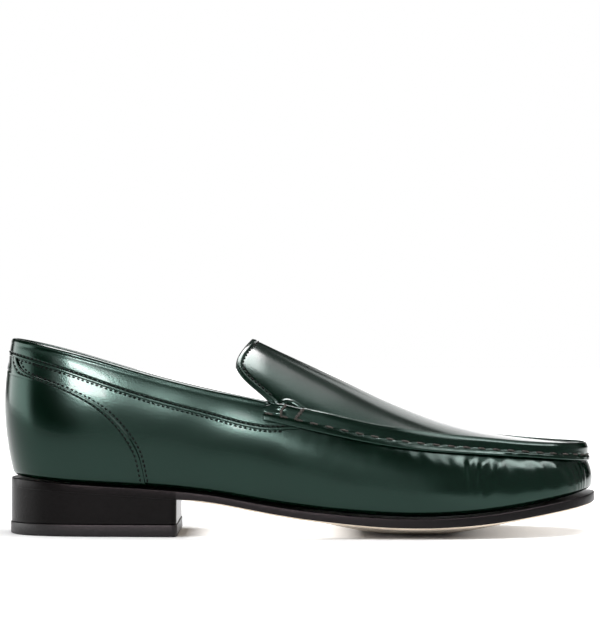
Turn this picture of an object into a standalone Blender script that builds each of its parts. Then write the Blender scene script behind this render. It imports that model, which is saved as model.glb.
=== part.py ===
"""Slip-on apron-toe loafer for the right foot, with a stacked heel and a raised wedge insole.

The shoe points along +X and stands on the plane z = 0. Its outer (lateral) side faces -Y.
Sizes are in millimetres, measured from the back of the heel, and are scaled to metres as the meshes
are made.
"""

import math

import bmesh
import bpy
import numpy as np

MM = 0.001

# Leather and sole thicknesses
UPPER_WALL = 2.0
APRON_LEATHER = 1.2
COLLAR_LEATHER = 0.9
COUNTER_LEATHER = 0.7
SOLE_AT_WAIST = 4.3
SOLE_AT_BALL = 5.2
FIT_GAP = 0.3

# Heel
BREAST_X = 88.5
HEEL_SEAT_BACK_Z = 24.2
HEEL_SEAT_BREAST_Z = 18.6
TOP_LIFT = 6.0
TOP_LIFT_FLANGE = 0.5
TOP_LIFT_BEVEL = 0.8
BREAST_CORNER = 3.0

# Sole edge and tread
SOLE_EDGE_BEVEL = 0.7
BALL_BELLY = 6.6
BALL_DISH = 3.6
BALL_X = 206.0
BELLY_REACH = 74.0
BELLY_FLAT = 0.15
SEAT_BLEND = 14.0

# Elevator insole
LIFT_AT_HEEL = 18.0
LIFT_AT_BALL = 3.0
LIFT_START_X = 40.0
LIFT_END_X = 178.0

# Shape of the lasted sections
WALL_FULLNESS = 0.36
APRON_EDGE_FULLNESS = 0.34
APRON_CROWN_FULLNESS = 0.38
SKIRT_WIDTH = 9.0
SKIRT_TAPER = 0.24
TAPER_FROM = 200.0
TAPER_TO = 265.0

# Tongue, the back end of the apron
TONGUE_LENGTH = 10.5
INSTEP_SLOPE = 0.47
TONGUE_LEAN = 0.95
TONGUE_LEAN_CURVE = 3
TONGUE_TRIM = 0.33
TONGUE_TRIM_CURVE = 1.4
TONGUE_CORNER = 0.11
CORNER_CURVE = 6

# One rib of the side wall at each station round the last: heel, outer side, toe, inner side.
# foot is on the feather line and top is on the topline or the apron's edge. The leans are degrees from
# upright, outwards at the foot and inwards at the top. welt is how far the sole's edge stands out.
WALL_COLUMNS = ("foot_x", "foot_y", "foot_z", "foot_lean", "top_x", "top_y", "top_z", "top_lean", "welt")
WALL = {
    "heel back": (6.0, 0.0, 28.6, 15, 4.6, 0.0, 97.6, 13, 2.7),
    "heel turn outer": (12.5, -19.5, 28.2, 15, 10.5, -16.5, 96.6, 13, 2.5),
    "heel side outer": (36.0, -30.0, 26.4, 14, 35.0, -26.5, 91.2, 14, 2.2),
    "quarter outer": (72.0, -32.5, 24.3, 14, 73.0, -30.5, 80.4, 16, 2.0),
    "waist outer": (106.0, -35.5, 21.2, 15, 108.0, -33.5, 71.8, 19, 2.2),
    "notch outer": (138.0, -40.0, 15.9, 15, 136.0, -36.0, 66.1, 24, 2.8),
    "joint outer": (170.0, -44.8, 12.2, 15, 168.0, -37.6, 58.5, 34, 3.4),
    "ball outer": (202.0, -46.8, 10.2, 15, 198.0, -37.0, 52.0, 44, 3.8),
    "small toe outer": (235.0, -44.6, 11.3, 14, 229.0, -34.0, 47.6, 48, 4.0),
    "toe side outer": (264.0, -36.5, 15.1, 14, 257.0, -28.5, 45.0, 44, 3.8),
    "toe corner outer": (287.0, -23.2, 19.2, 17, 281.5, -18.8, 43.5, 34, 3.4),
    "toe front": (297.2, 2.0, 21.1, 22, 294.0, 2.5, 43.0, 21, 2.8),
    "toe corner inner": (290.0, 24.8, 19.8, 17, 284.5, 21.2, 43.4, 34, 3.4),
    "toe side inner": (267.0, 36.5, 15.5, 14, 260.0, 30.5, 44.7, 44, 3.8),
    "big toe inner": (238.0, 43.5, 11.6, 14, 232.0, 35.5, 47.0, 48, 4.0),
    "ball inner": (207.0, 46.0, 10.2, 15, 203.0, 37.5, 50.6, 44, 3.8),
    "joint inner": (172.0, 41.5, 12.3, 14, 170.0, 37.5, 56.7, 34, 3.2),
    "notch inner": (138.0, 33.5, 16.9, 12, 136.0, 35.5, 63.7, 24, 2.4),
    "arch inner": (106.0, 28.5, 22.4, 10, 108.0, 33.0, 69.7, 18, 1.8),
    "quarter inner": (72.0, 28.0, 25.0, 11, 73.0, 30.0, 78.6, 15, 1.8),
    "heel side inner": (36.0, 28.5, 26.7, 13, 35.0, 26.0, 90.2, 14, 2.2),
    "heel turn inner": (12.5, 19.0, 28.2, 15, 10.5, 16.5, 96.4, 13, 2.5),
}
STATION = {name: index for index, name in enumerate(WALL)}
ROUND = len(WALL)

# The apron's arch over the instep at the stations from the notch to the toe corner.
APRON_COLUMNS = ("crown_rise", "edge_angle")
APRON = {
    "notch": (27.0, 62),
    "joint": (18.9, 52),
    "ball": (10.6, 40),
    "small toe": (4.2, 22),
    "toe side": (1.3, 9),
    "toe corner": (0.2, 4),
}
APRON_SPAN = len(APRON) - 1
TOE_BOW_CURVE = 3

# Width of the collar band at the stations from the heel back to just past the notch.
COLLAR_WIDTH = {
    "heel back": 7.4,
    "heel turn": 8.2,
    "heel side": 10.4,
    "quarter": 12.2,
    "waist": 12.8,
    "notch": 13.8,
    "joint": 6.0,
}
COLLAR_TAIL = 0.5
COLLAR_CLEARANCE = 0.05
TAIL_GAP = 1.2

# Height of the counter's upper edge at places along the heel.
COUNTER_COLUMNS = ("along", "height")
COUNTER_EDGE = (
    (0.0, 89.6),
    (9.0, 87.5),
    (11.0, 83.0),
    (16.0, 80.2),
    (34.0, 73.0),
    (53.0, 62.2),
    (66.0, 47.5),
    (70.5, 36.5),
    (72.6, 26.5),
)
COUNTER_END = 3.0
COUNTER_BEND = 2.6

# Mesh densities
WALL_ROWS = 8
HEEL_STEPS = 12
QUARTER_STEPS = 12
APRON_STEPS = 18
TOE_STEPS = 12
TONGUE_ROWS = 5
COUNTER_STEPS = 18
COUNTER_FRONT_STEPS = 8
COUNTER_ROWS = 6
TAIL_STEPS = 5
HEEL_SIDE_STEPS = 26
CORNER_STEPS = 4

# Fineness of the workings
RIB_SAMPLES = 41
OUTLINE_SAMPLES = 400
EDGE_TRIES = 12
WELD_DISTANCE = 0.002
SHARP_ANGLE = 40

MATERIALS = {
    "green_calf": ((0.018, 0.062, 0.040), 0.28, 0.0),
    "tan_lining": ((0.42, 0.26, 0.14), 0.55, 0.0),
    "black_edge": ((0.016, 0.015, 0.016), 0.40, 0.0),
    "black_rubber": ((0.030, 0.029, 0.031), 0.60, 0.0),
}


def spline(values, closed):
    """A smooth curve through rows of values, with one row at each whole number of its parameter."""
    values = np.asarray(values, float)
    count = len(values)
    matrix = 4 * np.eye(count) + np.roll(np.eye(count), 1, 0) + np.roll(np.eye(count), -1, 0)
    change = 3 * (np.roll(values, -1, 0) - np.roll(values, 1, 0))
    if not closed:
        matrix[0] = [2, 1] + [0] * (count - 2)
        matrix[-1] = [0] * (count - 2) + [1, 2]
        change[0] = 3 * (values[1] - values[0])
        change[-1] = 3 * (values[-1] - values[-2])
    slopes = np.linalg.solve(matrix, change)

    def at(parameter):
        parameter = np.asarray(parameter, float)
        index = np.floor(parameter).astype(int)
        if not closed:
            index = np.clip(index, 0, count - 2)
        f = (parameter - index)[..., None]
        a, b = index % count, (index + 1) % count
        return (
            values[a] * (1 + 2 * f) * (1 - f) ** 2
            + slopes[a] * f * (1 - f) ** 2
            + values[b] * f**2 * (3 - 2 * f)
            - slopes[b] * f**2 * (1 - f)
        )

    return at


def bezier(start, start_handle, end_handle, end, f):
    """A point at share f of a cubic between two ends and their handles."""
    f = np.asarray(f, float)[..., None]
    rest = 1 - f
    return start * rest**3 + start_handle * 3 * rest**2 * f + end_handle * 3 * rest * f**2 + end * f**3


def ease(low, high, value):
    """0 below low and 1 above high, with a soft change between."""
    f = np.clip((np.asarray(value, float) - low) / (high - low), 0, 1)
    return f * f * (3 - 2 * f)


wall_rib = spline(list(WALL.values()), closed=True)
apron_arch = spline(list(APRON.values()), closed=False)
collar_width = spline([[width] for width in COLLAR_WIDTH.values()], closed=False)
NOTCH_OUTER = STATION["notch outer"]
NOTCH_INNER = STATION["notch inner"]
CORNER_OUTER = STATION["toe corner outer"]
CORNER_INNER = STATION["toe corner inner"]
TURN_OUTER = STATION["heel turn outer"]
TURN_INNER = STATION["heel turn inner"]


def column(station, name):
    """One named column of the wall table at any station."""
    return wall_rib(station)[..., WALL_COLUMNS.index(name)]


def outward(station):
    """The level direction that points out of the last at a station."""
    step = 0.02
    along = wall_rib(np.asarray(station) + step)[..., :2] - wall_rib(np.asarray(station) - step)[..., :2]
    along /= np.linalg.norm(along, axis=-1, keepdims=True)
    return np.stack([along[..., 1], -along[..., 0], 0 * along[..., 0]], -1)


def wall(station, share):
    """A point of the side wall's outer face, at a share of the way up from the feather line."""
    rib = wall_rib(station)
    foot, top = rib[..., 0:3], rib[..., 4:7]
    handle = WALL_FULLNESS * np.linalg.norm(top - foot, axis=-1, keepdims=True)
    out, up = outward(station), np.array([0.0, 0.0, 1.0])
    foot_lean, top_lean = np.radians(rib[..., 3:4]), np.radians(rib[..., 7:8])
    foot_handle = foot + handle * (np.sin(foot_lean) * out + np.cos(foot_lean) * up)
    top_handle = top - handle * (np.cos(top_lean) * up - np.sin(top_lean) * out)
    return bezier(foot, foot_handle, top_handle, top, share)


def wall_normal(station, share):
    """The direction out of the side wall at a point of it."""
    step = 0.01
    station, share = np.asarray(station, float), np.asarray(share, float)
    along = wall(station + step, share) - wall(station - step, share)
    up = wall(station, share + step) - wall(station, share - step)
    normal = np.cross(along, up)
    return normal / np.linalg.norm(normal, axis=-1, keepdims=True)


def share_below_top(station, width):
    """The share of the wall's height that lies a given width down from its top edge."""
    shares = np.linspace(0, 1, RIB_SAMPLES)
    points = wall(np.full(RIB_SAMPLES, float(station)), shares)
    from_top = np.append(0, np.cumsum(np.linalg.norm(np.diff(points[::-1], axis=0), axis=1)))
    return float(np.interp(width, from_top, shares[::-1]))


def skirt_width(station):
    """The width of the apron's skirt at a station, narrower round the toe."""
    return SKIRT_WIDTH * (1 - SKIRT_TAPER * float(ease(TAPER_FROM, TAPER_TO, column(station, "top_x"))))


def share_at_height(station, height):
    """The share of the wall at which it reaches a height above the floor."""
    shares = np.linspace(0, 1, RIB_SAMPLES)
    heights = wall(np.full(RIB_SAMPLES, float(station)), shares)[:, 2]
    return float(np.interp(height, heights, shares))


def apron(along, across):
    """A point of the apron: along from the notch (0) to the toe corner, across from -1 outer to 1 inner."""
    along, across = np.broadcast_arrays(np.asarray(along, float), np.asarray(across, float))
    outer = wall(NOTCH_OUTER + along, 1.0 + 0 * along)
    inner = wall(NOTCH_INNER - along, 1.0 + 0 * along)
    rise, angle = apron_arch(along)[..., 0:1], np.radians(apron_arch(along)[..., 1:2])
    rung = arch(outer, inner, rise, angle, across)
    toe = wall(CORNER_OUTER + (across + 1) / 2 * (CORNER_INNER - CORNER_OUTER), 1.0 + 0 * along)
    last = np.full(along.shape, float(APRON_SPAN))
    corner_rise = apron_arch(last)[..., 0:1]
    corner_angle = np.radians(apron_arch(last)[..., 1:2])
    toe_outer = wall(NOTCH_OUTER + last, 1.0 + 0 * last)
    toe_inner = wall(NOTCH_INNER - last, 1.0 + 0 * last)
    toe_rung = arch(toe_outer, toe_inner, corner_rise, corner_angle, across)
    bow = (along[..., None] / APRON_SPAN) ** TOE_BOW_CURVE
    return rung + bow * (toe - toe_rung)


def arch(outer, inner, rise, angle, across):
    """A point of the arch that rises from one edge of the apron and falls to the other."""
    crown = (outer + inner) / 2 + rise * np.array([0.0, 0.0, 1.0])
    edge = np.where(across[..., None] < 0, outer, inner)
    level = (crown - edge) * np.array([1.0, 1.0, 0.0])
    reach = np.linalg.norm(level, axis=-1, keepdims=True)
    level = level / reach
    lift = np.array([0.0, 0.0, 1.0])
    edge_handle = APRON_EDGE_FULLNESS * np.linalg.norm(crown - edge, axis=-1, keepdims=True)
    edge_handle = edge + edge_handle * (np.cos(angle) * level + np.sin(angle) * lift)
    crown_handle = crown - APRON_CROWN_FULLNESS * reach * level
    return bezier(edge, edge_handle, crown_handle, crown, 1 - np.abs(across))


def tongue(back, across):
    """A point of the tongue: back from the notch (0) to its end (1), across from -1 outer to 1 inner."""
    back, across = np.broadcast_arrays(np.asarray(back, float), np.asarray(across, float))
    rounded = back * (1 - TONGUE_CORNER * across**CORNER_CURVE)
    across = across * (1 - TONGUE_CORNER * back**CORNER_CURVE)
    back = rounded
    trimmed = across * (1 - TONGUE_TRIM * back**TONGUE_TRIM_CURVE)
    point = apron(0 * back, trimmed)
    crown = apron(0 * back, 0 * across)
    drop = crown[..., 2] - point[..., 2]
    shift = -TONGUE_LENGTH * back - TONGUE_LEAN * back**TONGUE_LEAN_CURVE * drop
    climb = INSTEP_SLOPE * TONGUE_LENGTH * back
    return point + np.stack([shift, 0 * back, climb], -1)


def stations():
    """The loop of stations round the last that the meshes share, with where each run of them starts."""
    runs = (
        (TURN_INNER - ROUND, TURN_OUTER, HEEL_STEPS),
        (TURN_OUTER, NOTCH_OUTER, QUARTER_STEPS),
        (NOTCH_OUTER, CORNER_OUTER, APRON_STEPS),
        (CORNER_OUTER, CORNER_INNER, TOE_STEPS),
        (CORNER_INNER, NOTCH_INNER, APRON_STEPS),
        (NOTCH_INNER, TURN_INNER, QUARTER_STEPS),
    )
    return np.concatenate([np.linspace(a, b, n, endpoint=False) for a, b, n in runs])


def add_grid(mesh, points, closed=False):
    """Adds a sheet of faces to a mesh from rows of points, closing each row on itself if asked."""
    rows = [[mesh.verts.new(point * MM) for point in row] for row in points]
    for low, high in zip(rows, rows[1:]):
        count = len(low)
        for i in range(count if closed else count - 1):
            j = (i + 1) % count
            corners = (low[i], low[j], high[j], high[i])
            mesh.faces.new(corners)


def weld(mesh):
    """Joins sheets along the edges that they share."""
    bmesh.ops.remove_doubles(mesh, verts=mesh.verts, dist=WELD_DISTANCE * MM)
    mesh.normal_update()


def material(name):
    """A plain finish with the piece's colour, roughness and metallic value."""
    color, roughness, metallic = MATERIALS[name]
    made = bpy.data.materials.new(name)
    made.use_nodes = True
    shader = made.node_tree.nodes["Principled BSDF"]
    shader.inputs["Base Color"].default_value = (*color, 1.0)
    shader.inputs["Roughness"].default_value = roughness
    shader.inputs["Metallic"].default_value = metallic
    return made


def piece(name, mesh, finish):
    """Puts a finished mesh in the shoe as one named object."""
    data = bpy.data.meshes.new(name)
    mesh.to_mesh(data)
    mesh.free()
    data.shade_smooth()
    data.set_sharp_from_angle(angle=math.radians(SHARP_ANGLE))
    data.materials.append(finish)
    made = bpy.data.objects.new(name, data)
    made.parent = shoe
    collection.objects.link(made)
    return made


def thicken(made, thickness, outwards):
    """Gives an open sheet its leather thickness."""
    solidify = made.modifiers.new("leather thickness", "SOLIDIFY")
    solidify.thickness = thickness * MM
    solidify.offset = 1.0 if outwards else -1.0
    solidify.use_even_offset = True


def raise_sheet(mesh, distance):
    """Moves a sheet out along its own normals."""
    for vertex in mesh.verts:
        vertex.co += vertex.normal * distance * MM


def apron_sheets(mesh):
    """Adds the apron and its tongue, between the notches and the toe."""
    along = np.linspace(0, APRON_SPAN, APRON_STEPS + 1)
    across = np.linspace(-1, 1, TOE_STEPS + 1)
    add_grid(mesh, apron(along[:, None], across[None, :]).transpose(1, 0, 2))
    back = np.linspace(1, 0, TONGUE_ROWS + 1)
    add_grid(mesh, tongue(back[:, None], across[None, :]).transpose(1, 0, 2))


def make_upper():
    """The lasted upper: side wall, apron lining and tongue in one shell, open at collar and underneath."""
    mesh = bmesh.new()
    loop = stations()
    rows = [wall(loop, np.full(len(loop), share)) for share in np.linspace(0, 1, WALL_ROWS + 1)]
    add_grid(mesh, rows, closed=True)
    apron_sheets(mesh)
    weld(mesh)
    thicken(piece("upper", mesh, green), UPPER_WALL, outwards=False)


def make_apron():
    """The apron: its flat top, the tongue, and the skirt that laps down over the side wall."""
    mesh = bmesh.new()
    apron_sheets(mesh)
    loop = stations()
    loop = np.append(loop[(loop >= NOTCH_OUTER) & (loop < NOTCH_INNER)], NOTCH_INNER)
    skirt = np.array([share_below_top(station, skirt_width(station)) for station in loop])
    rows = [wall(loop, skirt + (1 - skirt) * share) for share in (0, 0.5, 1)]
    add_grid(mesh, rows)
    weld(mesh)
    raise_sheet(mesh, FIT_GAP)
    thicken(piece("apron", mesh, green), APRON_LEATHER, outwards=True)


def collar_edge(station):
    """The share of the wall at the collar band's lower edge, at a station counted from the heel back."""
    return share_below_top(station, float(collar_width(abs(station))[0]))


def make_collar_band():
    """The folded band round the topline, with tails that run on below the apron's skirt."""
    end = NOTCH_OUTER - COLLAR_CLEARANCE
    side = np.linspace(0, end, QUARTER_STEPS + HEEL_STEPS // 2 + 1)
    tail = np.linspace(end + COLLAR_CLEARANCE / 3, NOTCH_OUTER + COLLAR_TAIL, TAIL_STEPS)
    outer = np.concatenate([side, tail])
    outer_top = [1.0] * len(side) + [share_below_top(s, SKIRT_WIDTH + TAIL_GAP) for s in tail]
    loop = np.concatenate([-outer[:0:-1], outer])
    top = np.array(outer_top[:0:-1] + outer_top)
    low = np.array([collar_edge(station) for station in loop])
    mesh = bmesh.new()
    add_grid(mesh, [wall(loop, low + (top - low) * share) for share in (0, 0.5, 1)])
    weld(mesh)
    raise_sheet(mesh, FIT_GAP)
    thicken(piece("collar_band", mesh, green), COLLAR_LEATHER, outwards=True)


def counter_edge(station):
    """The share of the wall at the counter's upper edge, which stays clear of the collar band."""
    along, height = np.array(COUNTER_EDGE).T
    share = 0.5
    for _ in range(EDGE_TRIES):
        x = wall(np.array([station]), np.array([share]))[0, 0]
        share = (share + share_at_height(station, np.interp(x, along, height))) / 2
    gap = share_below_top(station, float(collar_width(abs(station))[0]) + FIT_GAP)
    return min(share, gap)


def make_counter():
    """The counter wrapped round the heel, with a narrow neck up the back to the collar band."""
    front = np.linspace(COUNTER_BEND, COUNTER_END, COUNTER_FRONT_STEPS)
    half = np.concatenate([np.linspace(0, COUNTER_BEND, COUNTER_STEPS), front[1:]])
    loop = np.concatenate([-half[:0:-1], half])
    top = np.array([counter_edge(station) for station in loop])
    mesh = bmesh.new()
    add_grid(mesh, [wall(loop, top * share) for share in np.linspace(0, 1, COUNTER_ROWS)])
    weld(mesh)
    raise_sheet(mesh, FIT_GAP)
    thicken(piece("heel_counter", mesh, green), COUNTER_LEATHER, outwards=True)


def patch(loop, points):
    """Fills a closed loop round the sole with a sheet of rungs from the outer to the inner side."""
    turn, corner = len(loop) - HEEL_STEPS - TOE_STEPS, HEEL_STEPS
    side = turn // 2
    heel = points[: corner + 1][::-1]
    outer = points[corner : corner + side + 1]
    toe = points[corner + side : corner + side + TOE_STEPS + 1]
    inner = np.concatenate([points[corner + side + TOE_STEPS :], points[:1]])[::-1]
    u = np.linspace(0, 1, side + 1)[:, None, None]
    w = np.linspace(0, 1, TOE_STEPS + 1)[None, :, None]
    flat = (1 - w) * outer[:, None] + w * inner[:, None] + (1 - u) * heel[None] + u * toe[None]
    ends = (1 - u) * ((1 - w) * heel[0] + w * heel[-1]) + u * ((1 - w) * toe[0] + w * toe[-1])
    return flat - ends


def sunk(sheet, depth_at_ball):
    """Lowers the middle of a sheet under the ball of the foot, leaving its rim where it is."""
    across = np.linspace(-1, 1, TOE_STEPS + 1)[None, :]
    ball = 1 - ease(BELLY_FLAT * BELLY_REACH, BELLY_REACH, np.abs(sheet[..., 0] - BALL_X))
    lowered = sheet.copy()
    lowered[..., 2] -= depth_at_ball * ball * (1 - across**2)
    return lowered


def sole_edge(loop):
    """The loop of the sole's edge in plan, beyond the upper's foot by the welt."""
    edge = wall(loop, 0 * loop) + column(loop, "welt")[:, None] * outward(loop)
    edge[:, 2] -= FIT_GAP
    return edge


def sole_bottom(edge):
    """The height of the sole's lower rim: the heel seat's plane, then a sole of growing thickness."""
    x = edge[:, 0]
    seat_fall = (HEEL_SEAT_BREAST_Z - HEEL_SEAT_BACK_Z) / BREAST_X
    seat = HEEL_SEAT_BACK_Z + seat_fall * x
    thick = SOLE_AT_WAIST + (SOLE_AT_BALL - SOLE_AT_WAIST) * ease(BREAST_X, BALL_X, x)
    front = ease(BREAST_X, BREAST_X + SEAT_BLEND, x)
    return seat * (1 - front) + (edge[:, 2] - thick) * front


def make_outsole():
    """The leather sole, with its bevelled edge, arch, toe spring, and a flat tread under the ball."""
    loop = stations()
    edge = sole_edge(loop)
    out = outward(loop)
    low = edge.copy()
    low[:, 2] = sole_bottom(edge)
    bevel = SOLE_EDGE_BEVEL * ease(BREAST_X, BREAST_X + SEAT_BLEND, edge[:, 0])[:, None]
    up = np.array([0.0, 0.0, 1.0])
    rings = [edge - SOLE_EDGE_BEVEL * out, edge - SOLE_EDGE_BEVEL * up, low + bevel * up, low - bevel * out]
    top = sunk(patch(loop, rings[0]), BALL_DISH)
    tread = sunk(patch(loop, rings[3]), BALL_BELLY)
    tread[..., 2] = np.maximum(tread[..., 2], 0)
    mesh = bmesh.new()
    add_grid(mesh, rings[::-1], closed=True)
    add_grid(mesh, top.transpose(1, 0, 2))
    add_grid(mesh, tread)
    weld(mesh)
    bmesh.ops.recalc_face_normals(mesh, faces=mesh.faces)
    piece("outsole", mesh, black)


def heel_ring(grow):
    """The heel's plan outline as a loop of (x, y) points: the sole's edge behind a straight breast."""
    half = np.linspace(0, NOTCH_OUTER, OUTLINE_SAMPLES)
    sides = []
    for sign in (-1, 1):
        edge = (sole_edge(sign * half) + grow * outward(sign * half))[:, :2]
        front = BREAST_X + grow
        stop = int(np.argmax(edge[:, 0] > front - BREAST_CORNER))
        y = edge[stop, 1]
        inset = math.copysign(BREAST_CORNER, y)
        turn = np.radians(np.linspace(90, 0, CORNER_STEPS + 1)[1:])
        corner = [(front - BREAST_CORNER * (1 - math.cos(a)), y - inset * (1 - math.sin(a))) for a in turn]
        kept = np.linspace(0, stop, HEEL_SIDE_STEPS + 1).astype(int)
        sides.append(list(edge[kept]) + corner)
    inner, outer = sides[0][1:], sides[1]
    return np.array(outer + inner[::-1])


def stack_rings(rings):
    """A closed solid through rings of points, capped at both ends."""
    mesh = bmesh.new()
    add_grid(mesh, rings, closed=True)
    mesh.verts.ensure_lookup_table()
    count = len(rings[0])
    mesh.faces.new(mesh.verts[:count])
    mesh.faces.new(mesh.verts[-count:])
    bmesh.ops.recalc_face_normals(mesh, faces=mesh.faces)
    return mesh


def make_heel():
    """The stacked heel under the sole's seat, and the rubber top lift that it stands on."""
    outline = heel_ring(0.0)
    seat_fall = (HEEL_SEAT_BREAST_Z - HEEL_SEAT_BACK_Z) / BREAST_X
    seat = HEEL_SEAT_BACK_Z + seat_fall * outline[:, 0] - FIT_GAP
    low = np.column_stack([outline, np.full(len(outline), TOP_LIFT + FIT_GAP)])
    high = np.column_stack([outline, seat])
    piece("heel_stack", stack_rings([low, high]), black)
    full, tread = heel_ring(TOP_LIFT_FLANGE), heel_ring(TOP_LIFT_FLANGE - TOP_LIFT_BEVEL)
    heights = (0.0, TOP_LIFT_BEVEL, TOP_LIFT)
    outlines = (tread, full, full)
    rings = [np.column_stack([ring, np.full(len(ring), z)]) for ring, z in zip(outlines, heights)]
    piece("heel_top_lift", stack_rings(rings), rubber)


def make_insole():
    """The wedge insole that raises the heel, resting on the sole within the upper's wall."""
    loop = stations()
    inset = UPPER_WALL + 2 * FIT_GAP
    floor_z = column(loop, "foot_z") + FIT_GAP
    fall = ease(LIFT_START_X, LIFT_END_X, column(loop, "foot_x"))
    wedge = LIFT_AT_HEEL + (LIFT_AT_BALL - LIFT_AT_HEEL) * fall
    rings = []
    for height in (floor_z, floor_z + wedge):
        share = np.array([share_at_height(station, z) for station, z in zip(loop, height)])
        ring = wall(loop, share) - inset * wall_normal(loop, share)
        ring[:, 2] = height
        rings.append(ring)
    bottom = sunk(patch(loop, rings[0]), BALL_DISH)
    top = sunk(patch(loop, rings[1]), BALL_DISH)
    mesh = bmesh.new()
    add_grid(mesh, rings, closed=True)
    add_grid(mesh, top.transpose(1, 0, 2))
    add_grid(mesh, bottom)
    weld(mesh)
    bmesh.ops.recalc_face_normals(mesh, faces=mesh.faces)
    piece("insole", mesh, tan)


def centre_on_floor():
    """Moves the shoe so that the middle of its base is at the origin."""
    bpy.context.view_layer.update()
    graph = bpy.context.evaluated_depsgraph_get()
    boxes = [np.array(part.evaluated_get(graph).bound_box) for part in collection.objects]
    corners = np.concatenate(boxes)
    low, high = corners.min(0), corners.max(0)
    shoe.location = (-(low[0] + high[0]) / 2, -(low[1] + high[1]) / 2, -low[2])


for old in list(bpy.data.objects):
    bpy.data.objects.remove(old)

collection = bpy.data.collections.new("loafer")
bpy.context.scene.collection.children.link(collection)
shoe = bpy.data.objects.new("loafer_centre", None)
bpy.context.scene.collection.objects.link(shoe)
green = material("green_calf")
tan = material("tan_lining")
black = material("black_edge")
rubber = material("black_rubber")

make_outsole()
make_heel()
make_insole()
make_upper()
make_counter()
make_collar_band()
make_apron()
centre_on_floor()
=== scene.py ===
"""A polished green apron-toe loafer for the right foot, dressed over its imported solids."""

import math

import bmesh
import bpy
import numpy as np
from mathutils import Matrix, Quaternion, Vector


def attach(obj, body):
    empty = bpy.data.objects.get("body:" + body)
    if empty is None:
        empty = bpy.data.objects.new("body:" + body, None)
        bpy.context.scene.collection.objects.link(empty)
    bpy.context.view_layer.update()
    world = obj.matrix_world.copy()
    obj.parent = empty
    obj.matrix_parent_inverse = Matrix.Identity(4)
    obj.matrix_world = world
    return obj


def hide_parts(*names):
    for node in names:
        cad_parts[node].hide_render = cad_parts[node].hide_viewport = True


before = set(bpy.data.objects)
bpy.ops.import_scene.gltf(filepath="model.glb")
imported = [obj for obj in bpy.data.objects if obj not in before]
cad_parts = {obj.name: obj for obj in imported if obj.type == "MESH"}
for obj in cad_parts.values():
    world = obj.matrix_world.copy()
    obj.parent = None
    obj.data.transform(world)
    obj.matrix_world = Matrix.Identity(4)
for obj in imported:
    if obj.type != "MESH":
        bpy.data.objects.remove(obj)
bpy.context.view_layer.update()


# Vamp and quarters
# The lasted upper of polished green calf: one skin drawn over the last and tucked in above the sole.
# Along the apron its edge is gathered, so small puckers stand out all round the toe.

MM = 0.001
HEEL_TO_MIDDLE = np.array([-149.925, 0.364, 0.0])

# The ribs of the side wall, at stations round the last from the heel over the outer side, in mm and degrees.
WALL_COLUMNS = ("foot_x", "foot_y", "foot_z", "foot_lean", "top_x", "top_y", "top_z", "top_lean", "welt")
WALL = {
    "heel back": (6.0, 0.0, 28.6, 15, 4.6, 0.0, 97.6, 13, 2.7),
    "heel turn outer": (12.5, -19.5, 28.2, 15, 10.5, -16.5, 96.6, 13, 2.5),
    "heel side outer": (36.0, -30.0, 26.4, 14, 35.0, -26.5, 91.2, 14, 2.2),
    "quarter outer": (72.0, -32.5, 24.3, 14, 73.0, -30.5, 80.4, 16, 2.0),
    "waist outer": (106.0, -35.5, 21.2, 15, 108.0, -33.5, 71.8, 19, 2.2),
    "notch outer": (138.0, -40.0, 15.9, 15, 136.0, -36.0, 66.1, 24, 2.8),
    "joint outer": (170.0, -44.8, 12.2, 15, 168.0, -37.6, 58.5, 34, 3.4),
    "ball outer": (202.0, -46.8, 10.2, 15, 198.0, -37.0, 52.0, 44, 3.8),
    "small toe outer": (235.0, -44.6, 11.3, 14, 229.0, -34.0, 47.6, 48, 4.0),
    "toe side outer": (264.0, -36.5, 15.1, 14, 257.0, -28.5, 45.0, 44, 3.8),
    "toe corner outer": (287.0, -23.2, 19.2, 17, 281.5, -18.8, 43.5, 34, 3.4),
    "toe front": (297.2, 2.0, 21.1, 22, 294.0, 2.5, 43.0, 21, 2.8),
    "toe corner inner": (290.0, 24.8, 19.8, 17, 284.5, 21.2, 43.4, 34, 3.4),
    "toe side inner": (267.0, 36.5, 15.5, 14, 260.0, 30.5, 44.7, 44, 3.8),
    "big toe inner": (238.0, 43.5, 11.6, 14, 232.0, 35.5, 47.0, 48, 4.0),
    "ball inner": (207.0, 46.0, 10.2, 15, 203.0, 37.5, 50.6, 44, 3.8),
    "joint inner": (172.0, 41.5, 12.3, 14, 170.0, 37.5, 56.7, 34, 3.2),
    "notch inner": (138.0, 33.5, 16.9, 12, 136.0, 35.5, 63.7, 24, 2.4),
    "arch inner": (106.0, 28.5, 22.4, 10, 108.0, 33.0, 69.7, 18, 1.8),
    "quarter inner": (72.0, 28.0, 25.0, 11, 73.0, 30.0, 78.6, 15, 1.8),
    "heel side inner": (36.0, 28.5, 26.7, 13, 35.0, 26.0, 90.2, 14, 2.2),
    "heel turn inner": (12.5, 19.0, 28.2, 15, 10.5, 16.5, 96.4, 13, 2.5),
}
STATION = {name: index for index, name in enumerate(WALL)}
ROUND = len(WALL)
TURN_OUTER, TURN_INNER = STATION["heel turn outer"], STATION["heel turn inner"]
NOTCH_OUTER, NOTCH_INNER = STATION["notch outer"], STATION["notch inner"]
CORNER_OUTER, CORNER_INNER = STATION["toe corner outer"], STATION["toe corner inner"]
WALL_FULLNESS = 0.36
SKIRT_WIDTH = 9.0
SKIRT_TAPER = 0.24
TAPER_FROM = 200.0
TAPER_TO = 265.0
UP = np.array([0.0, 0.0, 1.0])


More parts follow.
